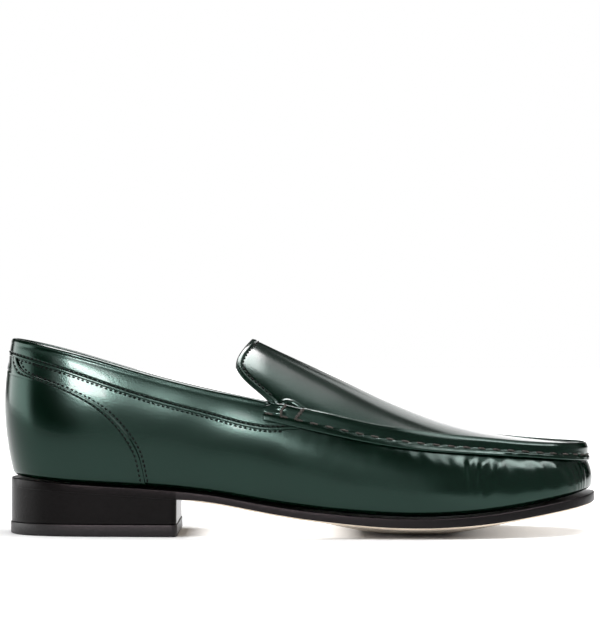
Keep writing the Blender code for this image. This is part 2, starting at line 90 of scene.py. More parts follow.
def spline(values, closed):
    """A smooth curve through rows of values, with one row at each whole number of its parameter."""
    values = np.asarray(values, float)
    count = len(values)
    matrix = 4 * np.eye(count) + np.roll(np.eye(count), 1, 0) + np.roll(np.eye(count), -1, 0)
    change = 3 * (np.roll(values, -1, 0) - np.roll(values, 1, 0))
    if not closed:
        matrix[0] = [2, 1] + [0] * (count - 2)
        matrix[-1] = [0] * (count - 2) + [1, 2]
        change[0] = 3 * (values[1] - values[0])
        change[-1] = 3 * (values[-1] - values[-2])
    slopes = np.linalg.solve(matrix, change)

    def at(parameter):
        parameter = np.asarray(parameter, float)
        index = np.floor(parameter).astype(int)
        if not closed:
            index = np.clip(index, 0, count - 2)
        f = (parameter - index)[..., None]
        a, b = index % count, (index + 1) % count
        start = values[a] * (1 + 2 * f) * (1 - f) ** 2 + slopes[a] * f * (1 - f) ** 2
        return start + values[b] * f**2 * (3 - 2 * f) - slopes[b] * f**2 * (1 - f)

    return at


def bezier(start, start_handle, end_handle, end, f):
    """A point at share f of a cubic between two ends and their handles."""
    f = np.asarray(f, float)[..., None]
    rest = 1 - f
    return start * rest**3 + start_handle * 3 * rest**2 * f + end_handle * 3 * rest * f**2 + end * f**3


def ease(low, high, value):
    """0 below low and 1 above high, with a soft change between."""
    f = np.clip((np.asarray(value, float) - low) / (high - low), 0, 1)
    return f * f * (3 - 2 * f)


def ridge(middle, width, value):
    """A soft ridge, 1 along its middle and fading over its width."""
    return np.exp(-(((np.asarray(value, float) - middle) / width) ** 2))


def unit(vectors):
    """The same directions with length 1."""
    return vectors / np.maximum(np.linalg.norm(vectors, axis=-1, keepdims=True), 1e-12)


wall_rib = spline(list(WALL.values()), closed=True)


def outward(station):
    """The level direction that points out of the last at a station."""
    step = 0.02
    along = wall_rib(np.asarray(station) + step)[..., :2] - wall_rib(np.asarray(station) - step)[..., :2]
    along = unit(along)
    return np.stack([along[..., 1], -along[..., 0], 0 * along[..., 0]], -1)


def wall(station, share):
    """A point of the side wall, at a share of the way up from the feather line."""
    station, share = np.broadcast_arrays(np.asarray(station, float), np.asarray(share, float))
    rib = wall_rib(station)
    foot, top = rib[..., 0:3], rib[..., 4:7]
    handle = WALL_FULLNESS * np.linalg.norm(top - foot, axis=-1, keepdims=True)
    out = outward(station)
    foot_lean, top_lean = np.radians(rib[..., 3:4]), np.radians(rib[..., 7:8])
    foot_handle = foot + handle * (np.sin(foot_lean) * out + np.cos(foot_lean) * UP)
    top_handle = top - handle * (np.cos(top_lean) * UP - np.sin(top_lean) * out)
    return bezier(foot, foot_handle, top_handle, top, share)


def wall_normal(station, share):
    """The direction out of the side wall at a point of it."""
    step = 0.01
    station, share = np.asarray(station, float), np.asarray(share, float)
    along = wall(station + step, share) - wall(station - step, share)
    return unit(np.cross(along, wall(station, share + step) - wall(station, share - step)))


RIB_SHARES = np.linspace(0, 1, 61)


def below_top(stations, widths):
    """The shares of the wall that lie given widths below its top edge, one column for each station."""
    ribs = wall(np.asarray(stations, float)[None, :], RIB_SHARES[:, None])
    steps = np.linalg.norm(np.diff(ribs[::-1], axis=0), axis=2)
    from_top = np.vstack([np.zeros(len(stations)), np.cumsum(steps, axis=0)])
    widths = np.broadcast_to(np.asarray(widths, float), (np.shape(widths)[0], len(stations)))
    columns = [np.interp(widths[:, i], from_top[:, i], RIB_SHARES[::-1]) for i in range(len(stations))]
    return np.stack(columns, axis=1)


def skirt_width(stations):
    """The width of the apron's skirt at stations, narrower round the toe."""
    top_x = wall_rib(stations)[..., WALL_COLUMNS.index("top_x")]
    return SKIRT_WIDTH * (1 - SKIRT_TAPER * ease(TAPER_FROM, TAPER_TO, top_x))


def round_the_last(heel, quarter, side, toe):
    """A closed loop of stations, with a number of steps for each run of it."""
    runs = (
        (TURN_INNER - ROUND, TURN_OUTER, heel),
        (TURN_OUTER, NOTCH_OUTER, quarter),
        (NOTCH_OUTER, CORNER_OUTER, side),
        (CORNER_OUTER, CORNER_INNER, toe),
        (CORNER_INNER, NOTCH_INNER, side),
        (NOTCH_INNER, TURN_INNER, quarter),
    )
    return np.concatenate([np.linspace(a, b, n, endpoint=False) for a, b, n in runs])


def add_sheet(mesh, points, closed=False):
    """Adds a sheet of faces from rows of points, closing each row on itself if asked."""
    placed = (np.asarray(points) + HEEL_TO_MIDDLE) * MM
    rows = [[mesh.verts.new(point) for point in row] for row in placed]
    for low, high in zip(rows, rows[1:]):
        count = len(low)
        for i in range(count if closed else count - 1):
            j = (i + 1) % count
            mesh.faces.new((low[i], low[j], high[j], high[i]))
    return rows


WELD_DISTANCE = 0.002 * MM


def give_thickness(mesh, thickness, steps=4):
    """Welds sheets together and gives them their leather thickness, with a round edge all the way."""
    bmesh.ops.remove_doubles(mesh, verts=mesh.verts, dist=WELD_DISTANCE)
    mesh.normal_update()
    verts, faces = list(mesh.verts), list(mesh.faces)
    rim = [edge.link_loops[0] for edge in mesh.edges if edge.is_boundary]
    out = {}
    for loop in rim:
        a, b = loop.vert, loop.link_loop_next.vert
        away = (b.co - a.co).cross(loop.face.normal).normalized()
        for vert in (a, b):
            out[vert] = out.get(vert, Vector((0, 0, 0))) + away
    depth = thickness * MM
    under = {vert: mesh.verts.new(vert.co - vert.normal * depth) for vert in verts}
    rings = {}
    for vert, away in out.items():
        ring = [vert]
        for step in range(1, steps):
            angle = math.pi * step / steps
            shift = away.normalized() * math.sin(angle) + vert.normal * (math.cos(angle) - 1)
            ring.append(mesh.verts.new(vert.co + shift * depth / 2))
        rings[vert] = ring + [under[vert]]
    edges = [(loop.vert, loop.link_loop_next.vert) for loop in rim]
    for face in faces:
        mesh.faces.new([under[vert] for vert in reversed(face.verts)])
    for a, b in edges:
        for k in range(steps):
            mesh.faces.new((rings[b][k], rings[a][k], rings[a][k + 1], rings[b][k + 1]))


def make_piece(name, mesh, finish, nodes=()):
    """Puts a finished mesh in the scene as one named piece of the shoe."""
    data = bpy.data.meshes.new(name)
    mesh.to_mesh(data)
    mesh.free()
    data.shade_smooth()
    data.materials.append(finish)
    made = bpy.data.objects.new(name, data)
    bpy.context.scene.collection.objects.link(made)
    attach(made, "root")
    if nodes:
        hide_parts(*nodes)
    return made


def new_finish(name):
    """A new material, with the tree that its nodes go into and its shader."""
    made = bpy.data.materials.new(name)
    made.use_nodes = True
    return made, made.node_tree, made.node_tree.nodes["Principled BSDF"]


def set_inputs(tree, node, inputs):
    """Sets a node's inputs, each to a plain value or to what comes out of another node."""
    for name, value in inputs.items():
        if isinstance(value, bpy.types.NodeSocket):
            tree.links.new(value, node.inputs[name])
        else:
            node.inputs[name].default_value = value


def add_node(tree, kind, inputs):
    """Adds a node of a kind, with its inputs set."""
    made = tree.nodes.new("ShaderNode" + kind)
    set_inputs(tree, made, inputs)
    return made


def two_tones(tree, share, dark, light, low=0.0, high=1.0):
    """A colour that runs from dark to light as a share of the surface goes from low to high."""
    ramp = add_node(tree, "ValToRGB", {"Fac": share})
    for stop, place, color in zip(ramp.color_ramp.elements, (low, high), (dark, light)):
        stop.position = place
        stop.color = (*color, 1.0)
    return ramp.outputs["Color"]


GRAIN_DEPTH = 0.0003
WAX_SPREAD = (-0.04, 0.05)


def grain_bump(tree, height, strength):
    """The fine relief of a leather's grain."""
    inputs = {"Height": height, "Strength": strength, "Distance": GRAIN_DEPTH}
    return add_node(tree, "Bump", inputs).outputs["Normal"]


def green_calf(name, dark, light, gloss):
    """Polished aniline calf: a dark green with soft cloudy shading, fine pores and a waxed surface."""
    made, tree, shader = new_finish(name)
    place = add_node(tree, "TexCoord", {}).outputs["Object"]
    cloud = add_node(tree, "TexNoise", {"Vector": place, "Scale": 45.0, "Detail": 5.0}).outputs["Fac"]
    pores = add_node(tree, "TexVoronoi", {"Vector": place, "Scale": 1500.0}).outputs["Distance"]
    grain = add_node(tree, "TexNoise", {"Vector": place, "Scale": 900.0, "Detail": 3.0}).outputs["Fac"]
    least, most = (gloss + spread for spread in WAX_SPREAD)
    wax = add_node(tree, "MapRange", {"Value": cloud, "To Min": least, "To Max": most})
    relief = add_node(tree, "Math", {0: pores, 1: grain})
    relief.operation = "ADD"
    set_inputs(tree, shader, {
        "Base Color": two_tones(tree, cloud, dark, light, 0.3, 0.7),
        "Roughness": wax.outputs["Result"],
        "Normal": grain_bump(tree, relief.outputs["Value"], 0.06),
        "Specular IOR Level": 0.36,
        "Specular Tint": (0.54, 1.0, 0.84, 1.0),
        "Coat Weight": 0.10,
        "Coat Roughness": 0.06,
    })
    return made


def ripples(points, seed, count, shortest, longest):
    """Waves that run in all directions, added up into soft swells and hollows."""
    dice = np.random.default_rng(seed)
    total = 0
    for _ in range(count):
        wave = unit(dice.normal(size=3)) * 2 * math.pi / dice.uniform(shortest, longest)
        total = total + np.sin(points @ wave + dice.uniform(0, 6.3))
    return total / math.sqrt(count)


SLACK = 0.12


def slack(points, amount=SLACK):
    """Faint swells and hollows that lasted leather keeps, each a few centimetres long."""
    return amount * ripples(points, seed=3, count=8, shortest=22, longest=55)


VAMP_LEATHER = 0.9
VAMP_TOP = 0.985
FEATHER_TUCK = 2.4
FEATHER_ROLL = 3.4
PUCKER_START = 146.0
PUCKER_FADE = 24.0
MOTTLE = 0.06
MOTTLE_FADE = 12.0
MOTTLE_DEPTH = 7.0

green = green_calf("green_calf", (0.0004, 0.0042, 0.0018), (0.0010, 0.0068, 0.0034), 0.175)

vamp_loop = round_the_last(40, 50, 200, 80)
vamp_rows = np.linspace(0, VAMP_TOP, 69)
vamp_points = wall(vamp_loop[None, :], vamp_rows[:, None])
vamp_out = wall_normal(vamp_loop[None, :], vamp_rows[:, None])
top_points = wall(vamp_loop, 1.0 + 0 * vamp_loop)
up_steps = np.linalg.norm(np.diff(np.concatenate([vamp_points, top_points[None]]), axis=0), axis=2)
from_top = np.cumsum(up_steps[::-1], axis=0)[::-1]
from_foot = np.vstack([np.zeros(len(vamp_loop)), np.cumsum(up_steps[:-1], axis=0)])


# The main puckers of one side: each starts at a crease, in mm from the heel, and runs on to the next.
# Columns: crease from the heel, height, length down the vamp.
PUCKERS = (
    (168.0, 0.08, 8.0),
    (181.0, 0.08, 9.0),
    (193.0, 0.08, 8.0),
    (201.0, 0.10, 7.0),
    (208.0, 0.14, 8.0),
    (214.5, 0.12, 7.0),
    (221.0, 0.22, 8.0),
    (230.5, 0.90, 12.0),
    (238.0, 1.00, 14.0),
    (245.0, 1.00, 15.0),
    (252.0, 0.55, 15.0),
    (264.8, 0.65, 12.0),
    (271.2, 0.85, 10.0),
    (278.2, 0.60, 12.0),
    (284.0, 0.55, 13.0),
    (287.5, 0.60, 14.0),
    (290.5, 0.60, 15.0),
    (293.0, 0.60, 15.0),
)
PUCKER_RISE = 4.5
PILLOW_ROUNDNESS = 0.9
PILLOW_FADE = 1.5
FINE_PUCKER = {"pitch": 3.4, "height": 0.06, "length": 4.5, "rise": 1.4}
FINE_COUNT = 300
FINE_AT_SIDE = 0.09
FINE_GROWS = (225, 250)
FINE_EASING = 0.5
FINE_EASES = (270, 290)
DRAWN_IN = 0.18
DRAWN_IN_WIDTH = 1.6

# The waves in which the creases bend on their way down: slope, spread along the edge, and start.
CREASE_BENDS = ((0.30, 11.0, 1.0), (0.20, 5.3, 0.0))


def gathers(along, depth, creases, heights, lengths, rise):
    """Pillows side by side with sharp creases between, each swelling out below the skirt and fading."""
    bend = sum(slope * np.sin(along / spread + start) for slope, spread, start in CREASE_BENDS)
    place = along + bend * depth
    index = np.clip(np.searchsorted(creases, place), 1, len(creases) - 1)
    low, high = creases[index - 1], creases[index]
    across = np.minimum(np.abs((place - (low + high) / 2) / (high - low) * 2), 1)
    dome = (0.5 + 0.5 * np.cos(np.pi * across)) ** PILLOW_ROUNDNESS
    swell = (1 - np.exp(-((depth / rise) ** 2))) * np.exp(-((depth / lengths[index - 1]) ** PILLOW_FADE))
    return heights[index - 1] * dome * swell


def pucker_relief(loop, below_skirt):
    """Height of the gathered vamp below the skirt: the main puckers with finer ones over them."""
    edge = wall(loop, below_top(loop, skirt_width(loop)[None, :])[0])
    x = edge[:, 0]
    along = np.append(0, np.cumsum(np.linalg.norm(np.diff(edge, axis=0), axis=1)))
    in_gather = (loop >= NOTCH_OUTER) & (loop <= NOTCH_INNER)
    fade_in = np.where(in_gather, ease(PUCKER_START, PUCKER_START + PUCKER_FADE, x), 0)
    first, front, last = in_gather.argmax(), x.argmax(), len(loop) - in_gather[::-1].argmax()
    crease_x, height, length = np.array(PUCKERS).T
    outer = np.interp(crease_x, x[first : front + 1], along[first : front + 1])
    inner = np.interp(crease_x, x[front:last][::-1], along[front:last][::-1])
    creases = np.concatenate([outer, inner[::-1]])
    heights = np.concatenate([height, height[-2::-1]])
    lengths = np.concatenate([length, length[-2::-1]])
    along = along[None, :]
    depth = np.maximum(below_skirt, 0)
    broad = gathers(along, depth, creases, heights, lengths, PUCKER_RISE)
    dice = np.random.default_rng(11)
    fine_creases = np.cumsum(FINE_PUCKER["pitch"] * dice.uniform(0.5, 1.5, FINE_COUNT))
    fine_heights = FINE_PUCKER["height"] * dice.uniform(0.35, 1.0, FINE_COUNT + 1)
    fine_lengths = FINE_PUCKER["length"] * dice.uniform(0.5, 1.5, FINE_COUNT + 1)
    fine = gathers(along, depth, fine_creases, fine_heights, fine_lengths, FINE_PUCKER["rise"])
    drawn_in = -DRAWN_IN * ridge(0, DRAWN_IN_WIDTH, depth)
    toe = FINE_AT_SIDE + (1 - FINE_AT_SIDE) * ease(*FINE_GROWS, x)
    toe = toe * (1 - FINE_EASING * ease(*FINE_EASES, x))
    return (broad + (fine + drawn_in) * toe[None, :]) * fade_in[None, :]


def mottle(points, below_skirt):
    """Small lumps where the slack of the gathers is worked away into the vamp, fading downwards."""
    reach = ease(PUCKER_START, PUCKER_START + MOTTLE_FADE, points[..., 0])
    reach = reach * np.exp(-np.maximum(below_skirt, 0) / MOTTLE_DEPTH) * (below_skirt > -1)
    return MOTTLE * reach * ripples(points, seed=5, count=14, shortest=5.0, longest=11.0)


tuck = -FEATHER_TUCK * (1 - np.clip(from_foot / FEATHER_ROLL, 0, 1)) ** 2
below_skirt = from_top - skirt_width(vamp_loop)[None, :]
relief = pucker_relief(vamp_loop, below_skirt) + mottle(vamp_points, below_skirt)
relief = relief + tuck + slack(vamp_points)
vamp_mesh = bmesh.new()
add_sheet(vamp_mesh, vamp_points + relief[..., None] * vamp_out, closed=True)
give_thickness(vamp_mesh, VAMP_LEATHER)
make_piece("vamp_and_quarters", vamp_mesh, green, nodes=("upper",))


# Lining
# A soft tan leather lining, pasted to the inside of the upper and running up under the tongue.
# It stops just below the collar's fold and goes down behind the insole.

# The apron's arch from the notch forwards: the rise of its crown, and its slope at the edge in degrees.
APRON = {
    "notch": (27.0, 62),
    "joint": (18.9, 52),
    "ball": (10.6, 40),
    "small toe": (4.2, 22),
    "toe side": (1.3, 9),
    "toe corner": (0.2, 4),
}
APRON_SPAN = len(APRON) - 1
APRON_EDGE_FULLNESS = 0.34
APRON_CROWN_FULLNESS = 0.38
TONGUE_LENGTH = 10.5
INSTEP_SLOPE = 0.47
TONGUE_LEAN = 0.95
TONGUE_TRIM = 0.33
TONGUE_TRIM_CURVE = 1.4
TONGUE_CORNER = 0.11
CORNER_CURVE = 6

apron_arch = spline(list(APRON.values()), closed=False)


def arch(outer, inner, rise, angle, across):
    """A point of the arch that rises from one edge of the apron and falls to the other."""
    crown = (outer + inner) / 2 + rise * UP
    edge = np.where(across[..., None] < 0, outer, inner)
    level = (crown - edge) * np.array([1.0, 1.0, 0.0])
    reach = np.linalg.norm(level, axis=-1, keepdims=True)
    level = level / reach
    handle = APRON_EDGE_FULLNESS * np.linalg.norm(crown - edge, axis=-1, keepdims=True)
    edge_handle = edge + handle * (np.cos(angle) * level + np.sin(angle) * UP)
    crown_handle = crown - APRON_CROWN_FULLNESS * reach * level
    return bezier(edge, edge_handle, crown_handle, crown, 1 - np.abs(across))


def apron_surface(along, across):
    """A point of the apron, along it from the notch (0) and across it from -1 outer to 1 inner."""
    along, across = np.broadcast_arrays(np.asarray(along, float), np.asarray(across, float))
    top, last = 1.0 + 0 * along, np.full(along.shape, float(APRON_SPAN))

    def rung(place):
        shape = apron_arch(place)
        sides = wall(NOTCH_OUTER + place, top), wall(NOTCH_INNER - place, top)
        return arch(*sides, shape[..., 0:1], np.radians(shape[..., 1:2]), across)

    toe = wall(CORNER_OUTER + (across + 1) / 2 * (CORNER_INNER - CORNER_OUTER), top)
    return rung(along) + (along[..., None] / APRON_SPAN) ** 3 * (toe - rung(last))


def tongue_surface(back, across):
    """A point of the tongue, back from the notch (0) to its end (1) and across from -1 to 1."""
    back, across = np.broadcast_arrays(np.asarray(back, float), np.asarray(across, float))
    rounded = back * (1 - TONGUE_CORNER * across**CORNER_CURVE)
    across = across * (1 - TONGUE_CORNER * back**CORNER_CURVE)
    back = rounded
    trimmed = across * (1 - TONGUE_TRIM * back**TONGUE_TRIM_CURVE)
    point = apron_surface(0 * back, trimmed)
    step = 0.02
    ahead = apron_surface(0 * back + step, trimmed) - point
    run_on = -ahead / ahead[..., 0:1]
    settle = (back - back**3 + back**4 / 2)[..., None]
    drop = apron_surface(0 * back, 0 * across)[..., 2] - point[..., 2]
    shift = -TONGUE_LENGTH * back - TONGUE_LEAN * back**3 * drop
    rise = INSTEP_SLOPE * TONGUE_LENGTH * back
    level = np.stack([shift, 0 * back, rise], -1)
    slope = np.stack([0 * back, run_on[..., 1], run_on[..., 2] - INSTEP_SLOPE], -1)
    return point + level + TONGUE_LENGTH * settle * slope


def sheet_normals(points):
    """The direction out of a sheet at each of its points, from its neighbours."""
    return unit(np.cross(np.gradient(points, axis=0), np.gradient(points, axis=1)))


def plain_leather(name, dark, light, roughness, pore_size, relief):
    """Unpolished leather: a mottled colour with a fine grain."""
    made, tree, shader = new_finish(name)
    place = add_node(tree, "TexCoord", {}).outputs["Object"]
    blotches = add_node(tree, "TexNoise", {"Vector": place, "Scale": 120.0, "Detail": 6.0})
    pores = add_node(tree, "TexVoronoi", {"Vector": place, "Scale": 1 / (pore_size * MM)})
    set_inputs(tree, shader, {
        "Base Color": two_tones(tree, blotches.outputs["Fac"], dark, light, 0.3, 0.7),
        "Normal": grain_bump(tree, pores.outputs["Distance"], relief),
        "Roughness": roughness,
    })
    return made


LINING_LEATHER = 0.8
LINING_SETBACK = 1.0
LINING_FOOT = 0.09
LINING_TOP = 0.985
LINING_TONGUE = 0.88
LINING_TONGUE_WIDTH = 0.95

tan_lining = plain_leather("tan_lining", (0.33, 0.19, 0.10), (0.42, 0.26, 0.145), 0.55, 0.7, 0.25)

lining_loop = round_the_last(24, 30, 50, 26)[None, :]
lining_rows = np.linspace(LINING_FOOT, LINING_TOP, 31)[:, None]
lining_wall = wall(lining_loop, lining_rows) - LINING_SETBACK * wall_normal(lining_loop, lining_rows)
lining_along = np.linspace(0, APRON_SPAN, 51)
lining_across = np.linspace(-1, 1, 27)
lining_mesh = bmesh.new()
add_sheet(lining_mesh, lining_wall, closed=True)
lining_lid = apron_surface(lining_along[:, None], lining_across[None, :])
lining_back = np.linspace(LINING_TONGUE, 0, 13)
lining_tongue = tongue_surface(lining_back[:, None], lining_across[None, :] * LINING_TONGUE_WIDTH)
lining_top = np.concatenate([lining_tongue[:-1], lining_lid])
lining_top = lining_top - LINING_SETBACK * sheet_normals(lining_top)
add_sheet(lining_mesh, lining_top.transpose(1, 0, 2))
give_thickness(lining_mesh, LINING_LEATHER)
make_piece("lining", lining_mesh, tan_lining)


# Heel counter
# A curved piece of the same calf, wrapped round the heel and sewn down with two rows of fine thread.
# A narrow neck of it runs up the back, to the collar band.

# The counter's curved edge from the top down: distance from the heel's back, and height.
COUNTER_EDGE = (
    (6.6, 92.0),
    (7.4, 88.2),
    (9.0, 84.4),
    (12.0, 81.4),
    (18.0, 79.0),
    (34.0, 73.0),
    (53.0, 62.2),
    (66.0, 47.5),
    (70.5, 36.5),
    (72.6, 25.5),
)
COUNTER_LIFT = 0.95
COUNTER_LEATHER = 0.8
COUNTER_STITCH_IN = 1.7
COUNTER_STITCH_OUT = 1.8
COUNTER_GROOVE = 0.25
GROOVE_WIDTH = 0.35
COUNTER_TOP = 0.925
COUNTER_SEWN = slice(6, 107)
EDGE_TRIES = 30
EDGE_GUESS = 40.0
COUNTER_MIDDLE = 0.15

counter_curve = spline(COUNTER_EDGE, closed=False)
counter_line = counter_curve(np.linspace(0, len(COUNTER_EDGE) - 1, 400))


def station_at(share, x, side):
    """The station on one side of the heel where the wall, at a share of its height, lies x from the back."""
    tries = np.linspace(0, NOTCH_OUTER, 161) * side
    return np.interp(x, wall(tries, np.full(161, share))[:, 0], tries * side) * side


def add_thread(mesh, middle, out, thick):
    """Adds one length of thread along a run of points, round in section and closed at both ends."""
    along = unit(np.gradient(middle, axis=0))
    side = unit(np.cross(out, along))
    turns = np.linspace(0, 2 * math.pi, 7)[:-1]
    round_the_thread = [np.cos(turn) * side + np.sin(turn) * np.cross(along, side) for turn in turns]
    rings = middle[:, None] + thick / 2 * np.stack(round_the_thread, axis=1)
    rows = add_sheet(mesh, rings, closed=True)
    mesh.faces.new(rows[0][::-1])
    mesh.faces.new(rows[-1])


FINE_PITCH = 2.5
FINE_STITCH = 1.45
FINE_THREAD = 0.85
FIRST_HOLE = 0.3
STITCH_BOW = 0.85
STITCH_SUNK = 0.6


def sew(mesh, line, out, pitch=FINE_PITCH, length=FINE_STITCH, thick=FINE_THREAD):
    """Sews a row of stitches along a line, each one rising from a hole and going down into the next."""
    run = np.append(0, np.cumsum(np.linalg.norm(np.diff(line, axis=0), axis=1)))
    bow = np.sin(np.linspace(0, math.pi, 7))[:, None]
    for start in np.arange(FIRST_HOLE, run[-1] - length, pitch):
        at = np.linspace(start, start + length, 7)
        middle = np.stack([np.interp(at, run, line[:, axis]) for axis in range(3)], axis=1)
        up = unit(np.stack([np.interp(at, run, out[:, axis]) for axis in range(3)], axis=1))
        add_thread(mesh, middle + up * thick * (STITCH_BOW * bow - STITCH_SUNK), up, thick)


counter_heights = np.linspace(0, COUNTER_TOP, 114)
edge_inset = np.array([0, 0.25, 0.5, 0.8, 1.1, 1.4, 1.7, 2.0, 2.4, 3.0, 4.0, 5.5])
counter_rows = []
counter_relief = []
outer_row = {-1: [], 1: []}
for share in counter_heights:
    sides = []
    for side in (-1, 1):
        x = EDGE_GUESS
        for _ in range(EDGE_TRIES):
            station = station_at(share, x, side)
            z = wall(np.array([station]), np.array([share]))[0, 2]
            below = np.interp(z, counter_line[::-1, 1], counter_line[::-1, 0])
            x = 0.5 * x + 0.5 * below
        slope = np.gradient(counter_line[:, 1], counter_line[:, 0])
        steep = abs(np.interp(x, counter_line[:, 0], slope))
        widen = math.sqrt(1 + steep**2) / steep
        xs = np.maximum(x - edge_inset * widen, COUNTER_MIDDLE * x)
        sides.append([station_at(share, value, side) for value in xs])
        outer_row[side].append((station_at(share, x + COUNTER_STITCH_OUT * widen, side), share))
    inner, outer = sides
    middle = np.linspace(inner[-1], outer[-1], 62)[1:-1]
    row = np.concatenate([inner, middle, outer[::-1]])
    counter_rows.append(row)
    groove = ridge(COUNTER_STITCH_IN, GROOVE_WIDTH, edge_inset)
    counter_relief.append(np.concatenate([groove, 0 * middle, groove[::-1]]))
counter_stations = np.array(counter_rows)
counter_shares = np.broadcast_to(counter_heights[:, None], counter_stations.shape)
counter_out = wall_normal(counter_stations, counter_shares)
counter_lift = COUNTER_LIFT - COUNTER_GROOVE * np.array(counter_relief)
counter_base = wall(counter_stations, counter_shares)
counter_lift = counter_lift + slack(counter_base)
counter_points = counter_base + counter_lift[..., None] * counter_out
counter_rise = counter_points[..., 2] - counter_points[0, :, 2]
counter_tuck = np.clip(1 - counter_rise / FEATHER_ROLL, 0, 1) ** 2
counter_points = counter_points - (FEATHER_TUCK * counter_tuck)[..., None] * counter_out
counter_mesh = bmesh.new()
add_sheet(counter_mesh, counter_points)
give_thickness(counter_mesh, COUNTER_LEATHER)
make_piece("counter", counter_mesh, green, nodes=("heel_counter",))


def sewing_thread(name, dark, light, roughness):
    """Waxed thread: two plies seen as fine slanted bands of lighter and darker colour."""
    made, tree, shader = new_finish(name)
    place = add_node(tree, "TexCoord", {}).outputs["Object"]
    plies = add_node(tree, "TexWave", {"Vector": place, "Scale": 600.0, "Distortion": 2.0})
    plies.bands_direction = "DIAGONAL"
    set_inputs(tree, shader, {
        "Base Color": two_tones(tree, plies.outputs["Fac"], dark, light),
        "Roughness": roughness,
        "Specular IOR Level": 0.15,
    })
    return made


# The fine thread is near black, darker than the calf: its colour is partly the thread's own and partly
# painted shade of the holes it sinks into.
green_thread_with_hole_shade = sewing_thread("green_thread_with_hole_shade", (0.0008, 0.0016, 0.0012), (0.003, 0.006, 0.0045), 0.8)

stitch_column = int(np.argmin(np.abs(edge_inset - COUNTER_STITCH_IN)))
counter_sewing = bmesh.new()
for column in (stitch_column, -1 - stitch_column):
    sew(counter_sewing, counter_points[COUNTER_SEWN, column], counter_out[COUNTER_SEWN, column])
for side in (-1, 1):
    stations, shares = np.array(outer_row[side])[COUNTER_SEWN].T
    line = wall(stations, shares)
    line_out = wall_normal(stations, shares)
    sew(counter_sewing, line + slack(line)[:, None] * line_out, line_out)
make_piece("counter_stitching", counter_sewing, green_thread_with_hole_shade)


# Collar band
# A strip of calf folded over the topline and sewn down along its lower edge.
# Its two tails run forward and are tucked under the apron's skirt.

COLLAR_WIDTH = {
    "heel back": 7.4,
    "heel turn": 8.2,
    "heel side": 10.4,
    "quarter": 12.2,
    "waist": 12.8,
    "notch": 13.2,
    "joint": 1.0,
}
COLLAR_LIFT = 1.15
COLLAR_LEATHER = 0.9
COLLAR_END = 5.45
COLLAR_SEWN_TO = 5.25
TAIL_DIPS = (4.9, 5.02)
TAIL_DEPTH = 0.9
TAIL_BLEND = 0.5
COLLAR_STITCH_IN = 1.4
COLLAR_STITCH_OUT = 1.1
COLLAR_GROOVE = 0.28
COLLAR_GROOVE_WIDTH = 0.4
COLLAR_SWELL = 0.12
SWELL_START = 2.2
NEAR_TOP = 0.97

# The bead along the fold and the hollow under it: height, middle below the topline, and width.
COLLAR_BEAD = ((0.22, 0.7, 0.8), (-0.05, 2.4, 0.7))

# The fold over the topline, as steps up and out from the wall's top edge.
COLLAR_FOLD = (
    (0.45, 1.0),
    (0.85, 0.55),
    (1.0, -0.1),
    (0.85, -0.75),
    (0.4, -1.25),
    (-0.4, -1.45),
    (-1.4, -1.5),
)

collar_width = spline([[width] for width in COLLAR_WIDTH.values()], closed=False)

collar_loop = np.linspace(-COLLAR_END, COLLAR_END, 361)
collar_depth = collar_width(np.abs(collar_loop))[:, 0]
up_from_edge = np.concatenate([np.arange(0, 3.2, 0.2), np.linspace(3.5, 6, 5)])
rest = np.linspace(0, 1, 11)[1:]
depths = np.concatenate([
    collar_depth[None, :] - up_from_edge[:, None],
    (collar_depth - up_from_edge[-1])[None, :] * (1 - rest[:, None]),
])
depths = np.maximum(depths, 0)
collar_shares = below_top(collar_loop, depths)
collar_points = wall(collar_loop[None, :], collar_shares)
collar_out = wall_normal(np.broadcast_to(collar_loop, collar_shares.shape), collar_shares)
from_edge = collar_depth[None, :] - depths
above_swell = (from_edge - SWELL_START) / (collar_depth[None, :] - SWELL_START)
swell = COLLAR_SWELL * np.sin(np.pi * np.clip(above_swell, 0, 1))
bead = sum(height * ridge(middle, width, depths) for height, middle, width in COLLAR_BEAD)
groove = COLLAR_GROOVE * ridge(COLLAR_STITCH_IN, COLLAR_GROOVE_WIDTH, from_edge)
collar_lift = COLLAR_LIFT - groove + swell + bead + slack(collar_points)
in_tail = ease(*TAIL_DIPS, np.abs(collar_loop))
under_skirt = in_tail[None, :] * ease(SKIRT_WIDTH + TAIL_BLEND, SKIRT_WIDTH - TAIL_BLEND, depths)
collar_lift = collar_lift - under_skirt * (COLLAR_LIFT + TAIL_DEPTH)
collar_points = collar_points + collar_lift[..., None] * collar_out
top_edge = wall(collar_loop, 1.0 + 0 * collar_loop)
top_up = unit(top_edge - wall(collar_loop, NEAR_TOP + 0 * collar_loop))
top_out = wall_normal(collar_loop, 1.0 + 0 * collar_loop)
buried = in_tail[:, None] * (COLLAR_LIFT + TAIL_DEPTH)
fold = [top_edge + up * top_up + out * top_out - buried * top_out for up, out in COLLAR_FOLD]
collar_mesh = bmesh.new()
add_sheet(collar_mesh, np.concatenate([collar_points, np.array(fold)]))
give_thickness(collar_mesh, COLLAR_LEATHER)
make_piece("folded_collar", collar_mesh, green, nodes=("collar_band",))

collar_sewing = bmesh.new()
sewn = np.abs(collar_loop) < COLLAR_SEWN_TO
for below_edge, lift in ((-COLLAR_STITCH_IN, COLLAR_LIFT - COLLAR_GROOVE), (COLLAR_STITCH_OUT, 0.0)):
    stations = collar_loop[sewn]
    shares = below_top(stations, (collar_depth[sewn] + below_edge)[None, :])[0]
    line, line_out = wall(stations, shares), wall_normal(stations, shares)
    line = line + (lift + slack(line))[:, None] * line_out
    sew(collar_sewing, line, line_out)
make_piece("collar_stitching", collar_sewing, green_thread_with_hole_shade)


# Apron
# The plug of calf over the toe and instep, running back into the tongue. Its edge is pinched into a crest,
# and the skirt below the crest is turned down over the gathered vamp and sewn through.

